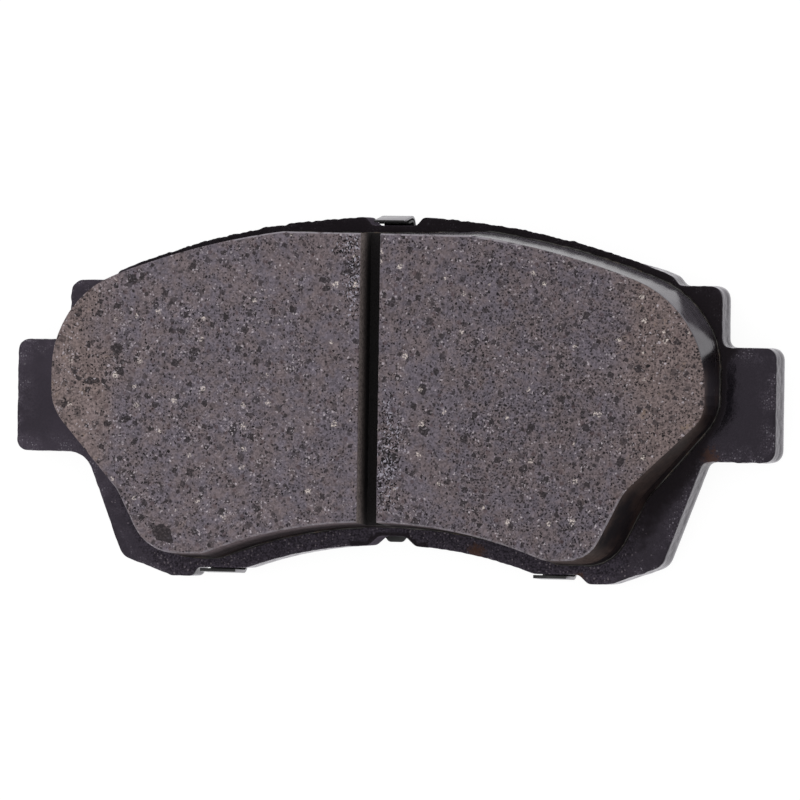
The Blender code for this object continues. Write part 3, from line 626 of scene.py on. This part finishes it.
def carveFace(made):  # pits of the dark grains, grinding marks, ragged edges and wavy sides
    points = readPoints(made)
    tree = kdtree.KDTree(len(points))
    for index, point in enumerate(points):
        tree.insert(point, index)
    tree.balance()
    inclusion = np.zeros(len(points))
    face = blockHigh.z
    for x, y, size, turn, stretch, flats in grainShapes():
        for place, index, distance in tree.find_range((x, y, face), size * 2.2):
            if place.z < face - 2e-5:
                continue
            dx, dy = place.x - x, place.y - y
            along, beside = dx * math.cos(turn) + dy * math.sin(turn), dy * math.cos(turn) - dx * math.sin(turn)
            px, py = along / stretch, beside
            reach = max((px * math.cos(turn) - py * math.sin(turn)) * cx / limit
                        + (px * math.sin(turn) + py * math.cos(turn)) * cy / limit for cx, cy, limit in flats)
            inclusion[index] = max(inclusion[index], min(1.0, max(0.0, (1.35 - reach / size) / 0.7)))
    floor = slotFloorLevel()
    slotDepth, crowd, loose, rim, pale, under = (np.zeros(len(points)) for i in range(6))
    moved = points.copy()
    for index, (x, y, z) in enumerate(points):
        if z > face - 2e-5:
            grind = swirl(x, y * 0.06, 0.0, 0.55, 3.0) + 0.6 * swirl(x, y * 0.1, 0.0, 0.22, 9.0)
            moved[index, 2] -= block["grindDepth"] * (1.0 + grind) + block["pitDepth"] * inclusion[index]
            crowd[index] = spotShare(x, y, grainCrowds)
            loose[index] = spotShare(x, y, looseGrains)
            pale[index] = max(0.0, max(1.0 - 0.5 * math.hypot(x / mm - chipX, y / mm - chipY) / size
                                       for chipX, chipY, size in paleChips))
        elif slotLeft - 1e-5 <= x <= slotRight + 1e-5 and z < face - 1e-5:
            slotDepth[index] = (face - z) / (face - floor)
        else:
            # a lighter rim line on the face's upper and lower edges: partly wear, partly a painted highlight
            if z > face - block["edgeBreak"] and y > 20.0 * mm and abs(x) < 26.0 * mm:
                rim[index] = 1.0
            elif z > face - block["edgeBreak"] and y < -15.0 * mm:
                rim[index] = 0.5
            under[index] = min(1.0, max(0.0, (-made.data.vertices[index].normal.y - 0.55) / 0.35))
            wave = swirl(x, y, z * 0.3, 4.0) + 0.5 * swirl(x, y, z, 1.4, 4.0)
            outward = Vector((x, y)).normalized()
            moved[index, 0] += outward.x * block["wallWave"] * (wave - 1.0)
            moved[index, 1] += outward.y * block["wallWave"] * (wave - 1.0)
        fromSlot = abs(abs(x - slotMiddle) - slotGap / 2)
        if fromSlot < 2.0 * block["slotBreak"] and z > face - 2.0 * block["slotBreak"]:  # chipped slot edges
            chipped = max(0.0, swirl(0.0, y, 0.0, 0.9, 5.0) + 0.6 * swirl(0.0, y, 0.0, 0.4, 2.0) - 0.2)
            moved[index, 0] += math.copysign(block["slotNibble"] * chipped, x - slotMiddle)
    writePoints(made, moved)
    writeShade(made, "inclusion", inclusion)
    writeShade(made, "slotDepth", slotDepth)
    writeShade(made, "crowd", crowd)
    writeShade(made, "rim", rim)
    writeShade(made, "pale", pale)
    writeShade(made, "loose", loose)
    writeShade(made, "under", under)


frictionMix = frictionFinish()
liningSkins = [skinFinish("liningSkin" + str(step), shine) for step, shine in enumerate(skinLook["shines"])]
frictionBlock = drawBlock().piece("frictionBlock", [frictionMix, *liningSkins], 40.0)
carveFace(frictionBlock)
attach(frictionBlock, "pad")
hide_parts("friction_block")
print("friction block:", len(frictionBlock.data.polygons), "faces")


# Underlayer below the friction block, with the two plugs that key it into the plate
base = {"rows": 4, "plugSpan": 60.0 * mm, "plugRise": 2.0 * mm, "plugRadius": 6.7 * mm, "holeRadius": 7.0 * mm,
        "plugSides": 72, "plugRows": 5, "plugDish": 0.2 * mm, "hiddenGap": 4.0 * mm}


def plugRing(side, radius):
    turns = np.linspace(0.0, math.tau, base["plugSides"], endpoint=False)
    centre = np.array([side * base["plugSpan"] / 2, base["plugRise"]])
    return centre + radius * np.column_stack([np.cos(turns), np.sin(turns)])


def drawUnderlayer():
    draft = Draft()
    bottom, top = filmHigh.z, underHigh.z
    draft.strip([withLevel(liningOutline(level), level) for level in np.linspace(bottom, top, base["rows"])], 0)
    for level, holes in ((top, []), (bottom, [plugRing(side, base["plugRadius"]) for side in (-1, 1)])):
        rim = liningOutline(level)
        inner = pointsInside(rim, base["hiddenGap"], 1.5 * mm)
        for side in (-1, 1) if holes else ():
            centre = plugRing(side, 0.0)[0]
            inner = inner[np.linalg.norm(inner - centre, axis=1) > base["plugRadius"] + mm]
        draft.cap([rim, *holes], inner, level, 0)
    for side in (-1, 1):
        rings = [withLevel(plugRing(side, base["plugRadius"]), level)
                 for level in np.linspace(bottom, underLow.z + base["plugDish"], base["plugRows"])]
        rings += [withLevel(plugRing(side, base["plugRadius"] * share), underLow.z + base["plugDish"] * rise)
                  for share, rise in ((0.97, 0.3), (0.92, 0.0), (0.6, 0.12), (0.25, 0.2))]
        draft.strip(rings, 0)
        draft.cap([rings[-1][:, :2]], np.array([plugRing(side, 0.0)[0]]), rings[-1][0, 2], 0)
    fadeOverspray(draft, 0)
    return draft


liningBase = drawUnderlayer().piece("liningBase", liningSkins, 40.0)
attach(liningBase, "pad")
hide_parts("underlayer")
print("underlayer:", len(liningBase.data.polygons), "faces")


# Bond film, squeezed out into an uneven bead along the lining's foot
beadLook = {"resin": (0.008, 0.0060, 0.0052), "flash": (0.056, 0.036, 0.023), "paleFlash": (0.092, 0.080, 0.076),
            "roughness": (0.30, 0.60)}
bead = {"reach": (0.05, 0.34), "lip": (0.03, 0.30), "waveMm": 5.0, "rippleMm": 1.1, "gap": 0.02 * mm, "hiddenGap": 4.0 * mm}


def beadFinish():
    look = beadLook
    finish, tree, shader = newFinish("bondResin")
    place = millimetres(tree)
    crest = shade("flash", tree)
    torn = maths(tree, 'MULTIPLY', crest, remap(tree, grain(tree, place, 1.6, 3.0, 0.7), 0.49, 0.64))
    tone = mixed(tree, remap(tree, grain(tree, place, 9.0), 0.45, 0.6), look["flash"], look["paleFlash"])
    tree.links.new(mixed(tree, torn, look["resin"], tone), shader.inputs["Base Color"])
    rough = remap(tree, grain(tree, place, 0.8, 2.0), 0.3, 0.7, *look["roughness"])
    tree.links.new(rough, shader.inputs["Roughness"])
    bumped(tree, shader, grain(tree, place, 0.35, 3.0), 0.08, 0.6)
    return finish


def drawBead():
    draft = Draft()
    foot, top = plateHigh.z, filmHigh.z
    outline = liningOutline(top)
    normals = outwardNormals(outline)
    swell = np.array([swirl(x, y, 0.0, bead["waveMm"], 2.0) + 0.7 * swirl(x, y, 0.0, bead["rippleMm"], 6.0)
                      for x, y in outline])
    swell = np.clip(0.5 + 0.6 * swell, 0.0, 1.0)
    climb = np.clip(0.5 + 0.9 * np.array([swirl(x, y, 0.0, 3.2, 11.0) for x, y in outline]), 0.0, 1.0)
    reach = (bead["reach"][0] + (bead["reach"][1] - bead["reach"][0]) * swell) * mm
    lip = (bead["lip"][0] + (bead["lip"][1] - bead["lip"][0]) * climb) * mm
    rings = []
    for out, level in ((reach, foot), (reach * 0.93, foot + (top - foot) * 0.4), (reach * 0.66, top),
                       (reach * 0.30 + bead["gap"], top + lip * 0.75), (bead["gap"] * 1.5, top + lip),
                       (bead["gap"], top - bead["gap"])):
        rings.append(withLevel(outline + normals * np.broadcast_to(out, len(outline))[:, None], level))
    draft.strip(rings, 0)
    holes = [plugRing(side, base["holeRadius"]) for side in (-1, 1)]
    for ring in (rings[0], rings[-1]):
        rim = ring[:, :2]
        inner = pointsInside(rim, bead["hiddenGap"], 1.5 * mm)
        for side in (-1, 1):
            inner = inner[np.linalg.norm(inner - plugRing(side, 0.0)[0], axis=1) > base["holeRadius"] + mm]
        draft.cap([rim, *holes], inner, ring[0, 2], 0)
    for hole in holes:
        draft.strip([withLevel(hole, foot), withLevel(hole, rings[-1][0, 2])], 0)
    return draft


bondBead = drawBead().piece("bondBead", [beadFinish()], 50.0)
crestPoints = readPoints(bondBead)
writeShade(bondBead, "flash", np.clip((crestPoints[:, 2] - filmHigh.z) / (0.12 * mm) + 0.4, 0.0, 1.0))
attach(bondBead, "pad")
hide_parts("bond_film")
print("bond bead:", len(bondBead.data.polygons), "faces")


# Backing plate: stamped steel under black gloss paint
paintLook = {"black": (0.0060, 0.0050, 0.0066), "paintedSheen": (0.030, 0.0245, 0.0335), "grit": (0.080, 0.068, 0.086),
             "speck": (0.15, 0.14, 0.15), "side": (0.0120, 0.0108, 0.0126), "glint": (0.26, 0.245, 0.275),
             "dust": (0.031, 0.0260, 0.0345), "crumb": (0.17, 0.145, 0.160), "dustRoughness": 0.80,
             "rust": (0.060, 0.026, 0.012), "roughness": (0.09, 0.20), "tint": (1.0, 0.86, 1.08, 1.0),
             "shine": 0.265, "grimeAndShade": (0.0050, 0.0034, 0.0030), "grimeAndShadeRoughness": 0.85,
             "bloom": 0.17, "bloomRoughness": 0.36, "bloomTint": (0.85, 0.66, 1.0, 1.0)}
plate = {
    "sectionLevel": 4.4 * mm, "outlineGap": 0.26 * mm, "smoothing": 3,
    "faceGap": 0.62 * mm, "faceMargin": 0.3 * mm, "hiddenGap": 5.0 * mm, "coveredMargin": 1.5 * mm,
    "lumpHeight": 0.05 * mm, "paintDepth": 0.05 * mm, "fractureDepth": 0.07 * mm, "shearTaper": 0.45 * mm, "crumbHeight": 0.16 * mm,
}
# stamped edge from the rolled back to the broken front: share of the thickness, inset in millimetres
plateEdge = [(0.0, 0.52), (0.02, 0.24), (0.055, 0.08), (0.11, 0.01), (0.25, 0.0), (0.40, 0.005), (0.46, 0.012), (0.54, 0.02),
             (0.62, 0.028), (0.70, 0.034), (0.78, 0.038), (0.86, 0.038), (0.92, 0.035), (0.965, 0.05), (0.99, 0.10), (1.0, 0.20)]
# thick drops of paint on the edge: x, y, reach and height in millimetres
paintDrops = [(-59.6, 14.5, 2.2, 0.16), (-59.6, 17.4, 1.2, 0.12), (-57.6, 10.0, 1.2, 0.20), (63.0, -9.9, 1.6, 0.14),
              (66.5, -9.9, 1.2, 0.12), (-24.0, 30.0, 1.0, 0.14), (-38.0, 26.5, 0.8, 0.12), (22.0, 30.4, 0.9, 0.12),
              (33.0, 28.0, 1.1, 0.13), (-49.0, 21.0, 0.8, 0.12), (46.0, -29.5, 1.2, 0.12), (-40.0, -31.4, 1.0, 0.1)]
# where paint is thin and the steel has rusted: x, y and reach in millimetres
rustSpots = [(57.6, -9.0, 3.6), (34.4, -30.2, 2.0), (16.0, -26.2, 3.2), (57.8, 21.0, 1.4)]


def paintFinish():
    look = paintLook
    finish, tree, shader = newFinish("blackPaint")
    place = millimetres(tree)
    cloud = grain(tree, place, 6.0, 3.0, 0.6)
    grit = grain(tree, place, 0.34, 3.0, 0.7)
    peel = grain(tree, place, 1.3, 2.0, 0.45)
    edge = shade("edge", tree)
    granular = maths(tree, 'MULTIPLY', edge, remap(tree, grain(tree, place, 3.5, 2.0), 0.36, 0.60))
    leftward = remap(tree, addNode(tree, "ShaderNodeSeparateXYZ", {0: place}).outputs["X"], 10.0, -64.0, 0.0, 0.10)
    gritty = maths(tree, 'ADD', maths(tree, 'MULTIPLY_ADD', granular, 0.06, leftward), maths(tree, 'MULTIPLY_ADD', cloud, 0.20, grit))
    # a painted bluish sheen in soft patches over the left lug, strongest at the far left
    paintedSheen = maths(tree, 'MULTIPLY', maths(tree, 'MULTIPLY', leftward, 10.0), remap(tree, grain(tree, place, 15.0, 2.0), 0.36, 0.62, 0.30, 1.0))
    colour = mixed(tree, paintedSheen, look["black"], look["paintedSheen"])
    coarse = maths(tree, 'MULTIPLY_ADD', granular, 0.80, 0.12)
    colour = mixed(tree, maths(tree, 'MULTIPLY', remap(tree, gritty, 0.56, 0.92, smooth=False), coarse), colour, look["grit"])
    # edge walls a little lighter and more violet than the front: partly their own tone, partly a painted tint of the
    # reflection they show
    side = shade("side", tree)
    colour = mixed(tree, maths(tree, 'MULTIPLY', side, 0.8), colour, look["side"])
    specks = flecks(tree, warped(tree, place, 0.5, 0.3), 1.9, 0.16, (0.05, 0.13), 0.05)
    colour = mixed(tree, maths(tree, 'MULTIPLY', specks, 0.55), colour, look["speck"])
    sparkle = flecks(tree, warped(tree, place, 0.3, 0.25), 0.46, 0.55, (0.10, 0.30), 0.08, flat=True)
    sparkle = maths(tree, 'MULTIPLY', sparkle, cellShade(tree, place, 0.7, "Blue"))
    sparkle = maths(tree, 'MULTIPLY', sparkle, maths(tree, 'MULTIPLY', remap(tree, granular, 0.18, 0.75), maths(tree, 'SUBTRACT', 1.0, side)))
    colour = mixed(tree, maths(tree, 'MULTIPLY', sparkle, 0.8), colour, look["glint"])
    # friction dust and crumbs below the lining
    dust = shade("dust", tree)
    dusty = remap(tree, maths(tree, 'MULTIPLY_ADD', grain(tree, place, 1.1, 4.0, 0.7), 0.8, dust), 0.48, 0.98)
    powder = tinted(tree, look["dust"], remap(tree, grain(tree, place, 0.30, 2.0), 0.3, 0.7, 0.20, 1.90))
    colour = mixed(tree, maths(tree, 'MULTIPLY', dusty, 0.9), colour, powder)
    crumbs = flecks(tree, warped(tree, place, 0.3, 0.3), 0.62, maths(tree, 'MULTIPLY', dust, 0.40), (0.08, 0.30), 0.06, flat=True)
    colour = mixed(tree, maths(tree, 'MULTIPLY', crumbs, 0.7), colour, look["crumb"])
    rusted = remap(tree, maths(tree, 'MULTIPLY_ADD', grain(tree, place, 0.55, 4.0, 0.7), 1.8, shade("rust", tree)), 1.32, 1.75)
    colour = mixed(tree, maths(tree, 'MULTIPLY', rusted, 0.8), colour, look["rust"])
    # matt grime and painted shade along the lining's foot and on the middle notches' walls
    soiledAndShaded = remap(tree, maths(tree, 'MULTIPLY_ADD', grain(tree, place, 1.4, 3.0, 0.65), 0.5, shade("grimeAndShade", tree)), 0.26, 0.84)
    colour = mixed(tree, maths(tree, 'MULTIPLY', soiledAndShaded, 0.85), colour, look["grimeAndShade"])
    tree.links.new(colour, shader.inputs["Base Color"])
    satin = remap(tree, cloud, 0.35, 0.70, *look["roughness"])
    torn = shade("torn", tree)
    rough = maths(tree, 'MAXIMUM', maths(tree, 'MULTIPLY_ADD', rusted, 0.35, satin), maths(tree, 'MULTIPLY', torn, 0.62))
    rough = maths(tree, 'MAXIMUM', rough, maths(tree, 'MULTIPLY', soiledAndShaded, look["grimeAndShadeRoughness"]))
    rough = maths(tree, 'MAXIMUM', rough, maths(tree, 'MULTIPLY', dusty, look["dustRoughness"]))
    tree.links.new(rough, shader.inputs["Roughness"])
    shader.inputs["Specular IOR Level"].default_value = look["shine"]
    shader.inputs["Specular Tint"].default_value = look["tint"]
    shader.inputs["Sheen Weight"].default_value = look["bloom"]
    shader.inputs["Sheen Roughness"].default_value = look["bloomRoughness"]
    shader.inputs["Sheen Tint"].default_value = look["bloomTint"]
    relief = maths(tree, 'MULTIPLY_ADD', grit, maths(tree, 'MULTIPLY_ADD', granular, 0.9, 0.12),
                   maths(tree, 'MULTIPLY', peel, 0.8))
    bumped(tree, shader, maths(tree, 'MULTIPLY_ADD', maths(tree, 'MULTIPLY', torn, grain(tree, place, 0.45, 3.0, 0.7)), 4.0, relief),
           0.09, 0.45)
    return finish


def plateOutline():
    loop = max(sectionLoops("backing_plate", plate["sectionLevel"]), key=signedArea)
    closed = np.vstack([loop, loop[:1]])
    length = np.sum(np.linalg.norm(np.diff(closed, axis=0), axis=1))
    even = evenRun(closed, int(length / plate["outlineGap"]) + 1)[:-1]
    for i in range(plate["smoothing"]):
        even = (np.roll(even, 1, axis=0) + 2 * even + np.roll(even, -1, axis=0)) / 4
    return even


def nearNotch(x, y):  # the shims' tabs need their room here
    return abs(x) < 7.0 * mm or (y < -27.5 * mm and 24.0 * mm < abs(x) < 38.0 * mm)


def archShare(x, y):  # 1 along the arched edge, whose sheared wall slants back, fading out at its ends
    if y < 18.0 * mm or nearNotch(x, y):
        return 0.0
    return min(1.0, max(0.0, (48.0 * mm - abs(x)) / (4.0 * mm))) * min(1.0, (abs(x) - 7.0 * mm) / (3.0 * mm))


def edgeLump(x, y):  # how far the painted edge stands out at a point of the outline
    if nearNotch(x, y):
        return 0.0
    out = plate["lumpHeight"] * (swirl(x, y, 0.0, 3.0, 8.0) + 0.6 * swirl(x, y, 0.0, 1.0, 5.0))
    out += plate["crumbHeight"] * archShare(x, y) * (swirl(x, y, 0.0, 1.3, 2.0) + 0.8 * swirl(x, y, 0.0, 0.6, 12.0))
    for dropX, dropY, reach, height in paintDrops:
        away = math.hypot(x / mm - dropX, y / mm - dropY) / reach
        if away < 1.0:
            out += height * mm * (1.0 - away ** 2) ** 2
    return out


def drawPlate():
    draft = Draft()
    outline = plateOutline()
    normals = outwardNormals(outline)
    lumps = np.array([edgeLump(x, y) for x, y in outline])
    onArch = np.array([archShare(x, y) for x, y in outline])
    back, thickness = plateLow.z, plateHigh.z - plateLow.z
    rings = []
    for share, inset in plateEdge:
        level = back + thickness * share
        torn = np.zeros(len(outline))
        if share > 0.42:
            torn = np.array([0.0 if nearNotch(x, y) else swirl(x, y, level * 0.8, 0.9, 7.0) - 0.5 for x, y in outline])
        out = lumps * min(1.0, 0.4 + share) - inset * mm + plate["fractureDepth"] * torn
        out -= plate["shearTaper"] * onArch * min(1.0, (1.0 - share) * 2.5)
        rings.append(withLevel(outline + normals * out[:, None], level))
    draft.strip(rings, 0)
    holes = [plugRing(side, base["holeRadius"]) for side in (-1, 1)]
    covered = liningOutline(filmHigh.z)
    for ring, dense in ((rings[0], False), (rings[-1], True)):
        rim = ring[:, :2]
        inner = pointsInside(rim, plate["hiddenGap"], 1.0 * mm)
        if dense:
            fine = pointsInside(rim, plate["faceGap"], plate["faceMargin"])
            inner = np.vstack([fine[~insideLoop(fine, covered)], inner[insideLoop(inner, covered)]])
        for side in (-1, 1):
            inner = inner[np.linalg.norm(inner - plugRing(side, 0.0)[0], axis=1) > base["holeRadius"] + mm]
        draft.cap([rim, *holes], inner, ring[0, 2], 0)
    for hole in holes:
        draft.strip([withLevel(hole, level) for level in np.linspace(back, plateHigh.z, 5)], 0)
    return draft


def insideLoop(points, loop):
    inside = np.zeros(len(points), bool)
    for here, ahead in zip(loop, np.roll(loop, -1, axis=0)):
        over = (here[1] > points[:, 1]) != (ahead[1] > points[:, 1])
        if over.any():
            cross = here[0] + (points[:, 1] - here[1]) / (ahead[1] - here[1] + 1e-15) * (ahead[0] - here[0])
            inside ^= over & (points[:, 0] < cross)
    return inside


def weatherPlate(made):  # paint waves on the front, and what the paint's material reads
    points = readPoints(made)
    outline = plateOutline()
    rim = kdtree.KDTree(len(outline))
    for index, (x, y) in enumerate(outline):
        rim.insert((x, y, 0.0), index)
    rim.balance()
    edge, rust, torn, grimeAndShade, dust, side = (np.zeros(len(points)) for i in range(6))
    foot = liningOutline(filmHigh.z)
    covered = insideLoop(points[:, :2], foot)
    footTree = kdtree.KDTree(len(foot))
    for index, (x, y) in enumerate(foot):
        footTree.insert((x, y, 0.0), index)
    footTree.balance()
    for index, (x, y, z) in enumerate(points):
        away = rim.find((x, y, 0.0))[2]
        edge[index] = max(0.0, 1.0 - away / (4.0 * mm))
        rust[index] = max([0.0] + [1.0 - math.hypot(x / mm - spotX, y / mm - spotY) / reach
                                   for spotX, spotY, reach in rustSpots])
        if away < 0.7 * mm:
            torn[index] = archShare(x, y)
        upper = min(1.0, max(0.0, (y / mm - 7.0) / 4.0))
        if z > plateHigh.z - 0.2 * mm:
            fromFoot = footTree.find((x, y, 0.0))[2]
            lower = min(1.0, max(0.0, (-y / mm - 14.0) / 4.0)) * min(1.0, max(0.15, (50.0 - x / mm) / 10.0))
            hidden = 0.35 + 0.65 * min(1.0, max(0.0, (x / mm + 52.0) / 12.0))
            flank = min(1.0, max(0.0, (-y / mm - 6.0) / 6.0)) * min(1.0, max(0.0, (x / mm - 36.0) / 8.0))
            # grime with painted shade beside the lining's foot, wider on the upper side and the right flank
            reach = (1.6 + 6.4 * upper + 4.4 * flank) * mm
            grimeAndShade[index] = hidden * (1.0 - lower) * max(0.0, 1.0 - fromFoot / reach)
            dust[index] = lower * max(0.0, 1.0 - fromFoot / (6.0 * mm))
        else:
            side[index] = 1.0
        # walls of the middle notches fully darkened as painted shade
        if abs(x) < 7.0 * mm and away < 0.7 * mm:  # dull walls of the middle notches
            grimeAndShade[index] = 1.0
        if z > plateHigh.z - 1e-5 and not covered[index]:
            wave = swirl(x, y, 0.0, 2.4, 1.0) + 0.5 * swirl(x, y, 0.0, 0.9, 3.0)
            points[index, 2] -= plate["paintDepth"] * (0.6 + 0.4 * wave)
    writePoints(made, points)
    writeShade(made, "edge", edge)
    writeShade(made, "rust", rust)
    writeShade(made, "torn", torn)
    writeShade(made, "grimeAndShade", grimeAndShade)
    writeShade(made, "dust", dust)
    writeShade(made, "side", side)


backingPlate = drawPlate().piece("backingPlate", [paintFinish()], 55.0)
weatherPlate(backingPlate)
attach(backingPlate, "pad")
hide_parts("backing_plate")
print("backing plate:", len(backingPlate.data.polygons), "faces")


# Shims: steel sheets with a black coat on the side that faces the plate
shim = {"edgeRound": 0.06 * mm, "roundSteps": 2, "cutAngle": 45.0, "lowTabs": -25.0 * mm, "coatSwell": 0.18 * mm}
steelLook = {"steel": (0.30, 0.29, 0.31), "stain": (0.19, 0.18, 0.19), "roughness": (0.24, 0.42)}
coatLook = {"coat": (0.010, 0.0095, 0.010), "worn": (0.045, 0.042, 0.043), "roughness": (0.42, 0.62)}


def steelFinish():
    look = steelLook
    finish, tree, shader = newFinish("rolledSteel")
    place = millimetres(tree)
    rolled = grain(tree, millimetres(tree, (0.02, 1.0, 1.0)), 0.35, 3.0, 0.6)
    stain = remap(tree, grain(tree, place, 16.0, 4.0, 0.6), 0.48, 0.72)
    scratch = remap(tree, grain(tree, millimetres(tree, (0.35, 0.02, 1.0)), 0.30, 1.0), 0.70, 0.76)
    colour = mixed(tree, maths(tree, 'MULTIPLY', stain, 0.6), look["steel"], look["stain"])
    colour = mixed(tree, maths(tree, 'MULTIPLY', scratch, 0.3), colour, (0.45, 0.44, 0.45))
    tree.links.new(colour, shader.inputs["Base Color"])
    shader.inputs["Metallic"].default_value = 1.0
    satin = maths(tree, 'MULTIPLY_ADD', stain, 0.10, remap(tree, rolled, 0.3, 0.7, *look["roughness"]))
    tree.links.new(satin, shader.inputs["Roughness"])
    bumped(tree, shader, maths(tree, 'MULTIPLY_ADD', scratch, -0.4, rolled), 0.02, 0.35)
    return finish


def coatFinish():
    look = coatLook
    finish, tree, shader = newFinish("shimCoat")
    place = millimetres(tree)
    worn = remap(tree, grain(tree, place, 1.1, 4.0, 0.7), 0.56, 0.74)
    tree.links.new(mixed(tree, worn, look["coat"], look["worn"]), shader.inputs["Base Color"])
    tree.links.new(remap(tree, grain(tree, place, 4.0, 3.0), 0.3, 0.7, *look["roughness"]), shader.inputs["Roughness"])
    bumped(tree, shader, grain(tree, place, 0.22, 3.0, 0.6), 0.05, 0.5)
    return finish


def foldedShim(nodeName, pieceName, outside, inside):  # the CAD sheet with rounded cut edges and a coated inner side
    solid = bmesh.new()
    solid.from_mesh(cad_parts[nodeName].data)
    bmesh.ops.remove_doubles(solid, verts=solid.verts, dist=1e-6)
    bmesh.ops.dissolve_limit(solid, angle_limit=math.radians(0.5), verts=solid.verts, edges=solid.edges)
    # the coat of the lower tabs swells towards the plate's notches
    swollen = {vert for face in solid.faces if face.normal.y > 0.6 and face.calc_center_median().z > mm
               for vert in face.verts if vert.co.y < shim["lowTabs"]}
    for vert in swollen:
        vert.co.y += shim["coatSwell"]
    cut = [edge for edge in solid.edges if edge.calc_face_angle(0.0) > math.radians(shim["cutAngle"])]
    bmesh.ops.bevel(solid, geom=cut, offset=shim["edgeRound"], segments=shim["roundSteps"], profile=0.5, affect='EDGES',
                    clamp_overlap=True)
    bmesh.ops.triangulate(solid, faces=solid.faces)
    bmesh.ops.recalc_face_normals(solid, faces=solid.faces)
    for face in solid.faces:
        centre = face.calc_center_median()
        toPlate = face.normal.z > 0.5 or face.normal.y * centre.y < 0.0 and abs(face.normal.y) > 0.6 and centre.z > mm
        face.material_index = 1 if toPlate else 0
    mesh = bpy.data.meshes.new(pieceName)
    mesh.materials.append(outside)
    mesh.materials.append(inside)
    solid.to_mesh(mesh)
    solid.free()
    mesh.shade_smooth()
    mesh.set_sharp_from_angle(angle=math.radians(50.0))
    made = bpy.data.objects.new(pieceName, mesh)
    bpy.context.scene.collection.objects.link(made)
    return made


rolledSteel, shimCoat = steelFinish(), coatFinish()
outerShim = foldedShim("outer_shim", "outerShim", rolledSteel, shimCoat)
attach(outerShim, "shim_outer")
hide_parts("outer_shim")
innerShim = foldedShim("inner_shim", "innerShim", shimCoat, shimCoat)
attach(innerShim, "shim_inner")
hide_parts("inner_shim")
print("shims:", len(outerShim.data.polygons), "and", len(innerShim.data.polygons), "faces")


# Camera at the photograph's angle, and a light tent
shot = {"yaw": 17.37, "roll": -0.86, "distance": 1516.5 * mm, "aside": 1.48 * mm, "lens": 390.8, "sensor": 36.0}


def addCamera():
    yaw, roll = math.radians(shot["yaw"]), math.radians(shot["roll"])
    back = Vector((math.sin(yaw), 0.0, math.cos(yaw)))
    level = Vector((math.cos(yaw), 0.0, -math.sin(yaw)))
    right = level * math.cos(roll) - Vector((0.0, 1.0, 0.0)) * math.sin(roll)
    up = back.cross(right)
    lens = bpy.data.cameras.new("padCamera")
    lens.lens, lens.sensor_width = shot["lens"], shot["sensor"]
    lens.clip_start, lens.clip_end = 0.05, 20.0
    camera = bpy.data.objects.new("padCamera", lens)
    place = Vector((0.0, 0.0, plateHigh.z)) + back * shot["distance"] + right * shot["aside"]
    camera.matrix_world = Matrix.Translation(place) @ Matrix((right, up, back)).transposed().to_4x4()
    bpy.context.scene.collection.objects.link(camera)
    bpy.context.scene.camera = camera


studio = {"world": 0.85, "floorSize": 6.0, "floorLevel": -0.02 * mm, "floorGlow": 0.92,
          "floorDiffuse": (0.14, 0.14, 0.14)}
# panels of the tent: place, width, height, watts
panels = {"overheadPanel": ((-0.38, 0.05, 1.15), 0.9, 0.8, 0.55), "backPanel": ((0.1, 1.1, 0.45), 1.2, 0.35, 1.2)}


def addStudio():
    world = bpy.data.worlds.new("lightTent")
    bpy.context.scene.world = world
    world.use_nodes = True
    world.node_tree.nodes["Background"].inputs["Color"].default_value = (1.0, 1.0, 1.0, 1.0)
    world.node_tree.nodes["Background"].inputs["Strength"].default_value = studio["world"]
    for name, (place, width, height, watts) in panels.items():
        lamp = bpy.data.lights.new(name, 'AREA')
        lamp.shape, lamp.size, lamp.size_y, lamp.energy = 'RECTANGLE', width, height, watts
        panel = bpy.data.objects.new(name, lamp)
        panel.location = place
        panel.rotation_euler = Vector(place).to_track_quat('Z', 'Y').to_euler()
        bpy.context.scene.collection.objects.link(panel)


def addFloor():  # white where it is seen or mirrored, and still shaded by the pad
    finish, tree, shader = newFinish("paleFloor")
    tree.nodes.remove(shader)
    out = tree.nodes["Material Output"]
    ray = addNode(tree, "ShaderNodeLightPath").outputs
    seen = maths(tree, 'MAXIMUM', ray["Is Camera Ray"],
                 maths(tree, 'MAXIMUM', ray["Is Glossy Ray"], ray["Is Transmission Ray"]))
    glow = addNode(tree, "ShaderNodeEmission", {"Color": (1.0, 1.0, 1.0, 1.0), "Strength": studio["floorGlow"]})
    shaded = addNode(tree, "ShaderNodeBsdfDiffuse", {"Color": (*studio["floorDiffuse"], 1.0)})
    bright = addNode(tree, "ShaderNodeAddShader", {0: glow.outputs[0], 1: shaded.outputs[0]})
    plain = addNode(tree, "ShaderNodeBsdfDiffuse", {"Color": (0.85, 0.85, 0.85, 1.0)})
    both = addNode(tree, "ShaderNodeMixShader", {0: seen, 1: plain.outputs[0], 2: bright.outputs[0]})
    tree.links.new(both.outputs[0], out.inputs["Surface"])
    half = studio["floorSize"] / 2
    mesh = bpy.data.meshes.new("paleFloor")
    mesh.from_pydata([(x, y, studio["floorLevel"]) for x, y in ((-half, -half), (half, -half), (half, half),
                                                               (-half, half))], [], [(0, 1, 2, 3)])
    mesh.materials.append(finish)
    floor = bpy.data.objects.new("paleFloor", mesh)
    bpy.context.scene.collection.objects.link(floor)


addCamera()
addStudio()
addFloor()
bpy.context.scene.view_settings.view_transform = 'Standard'
print("camera, tent and floor in place")
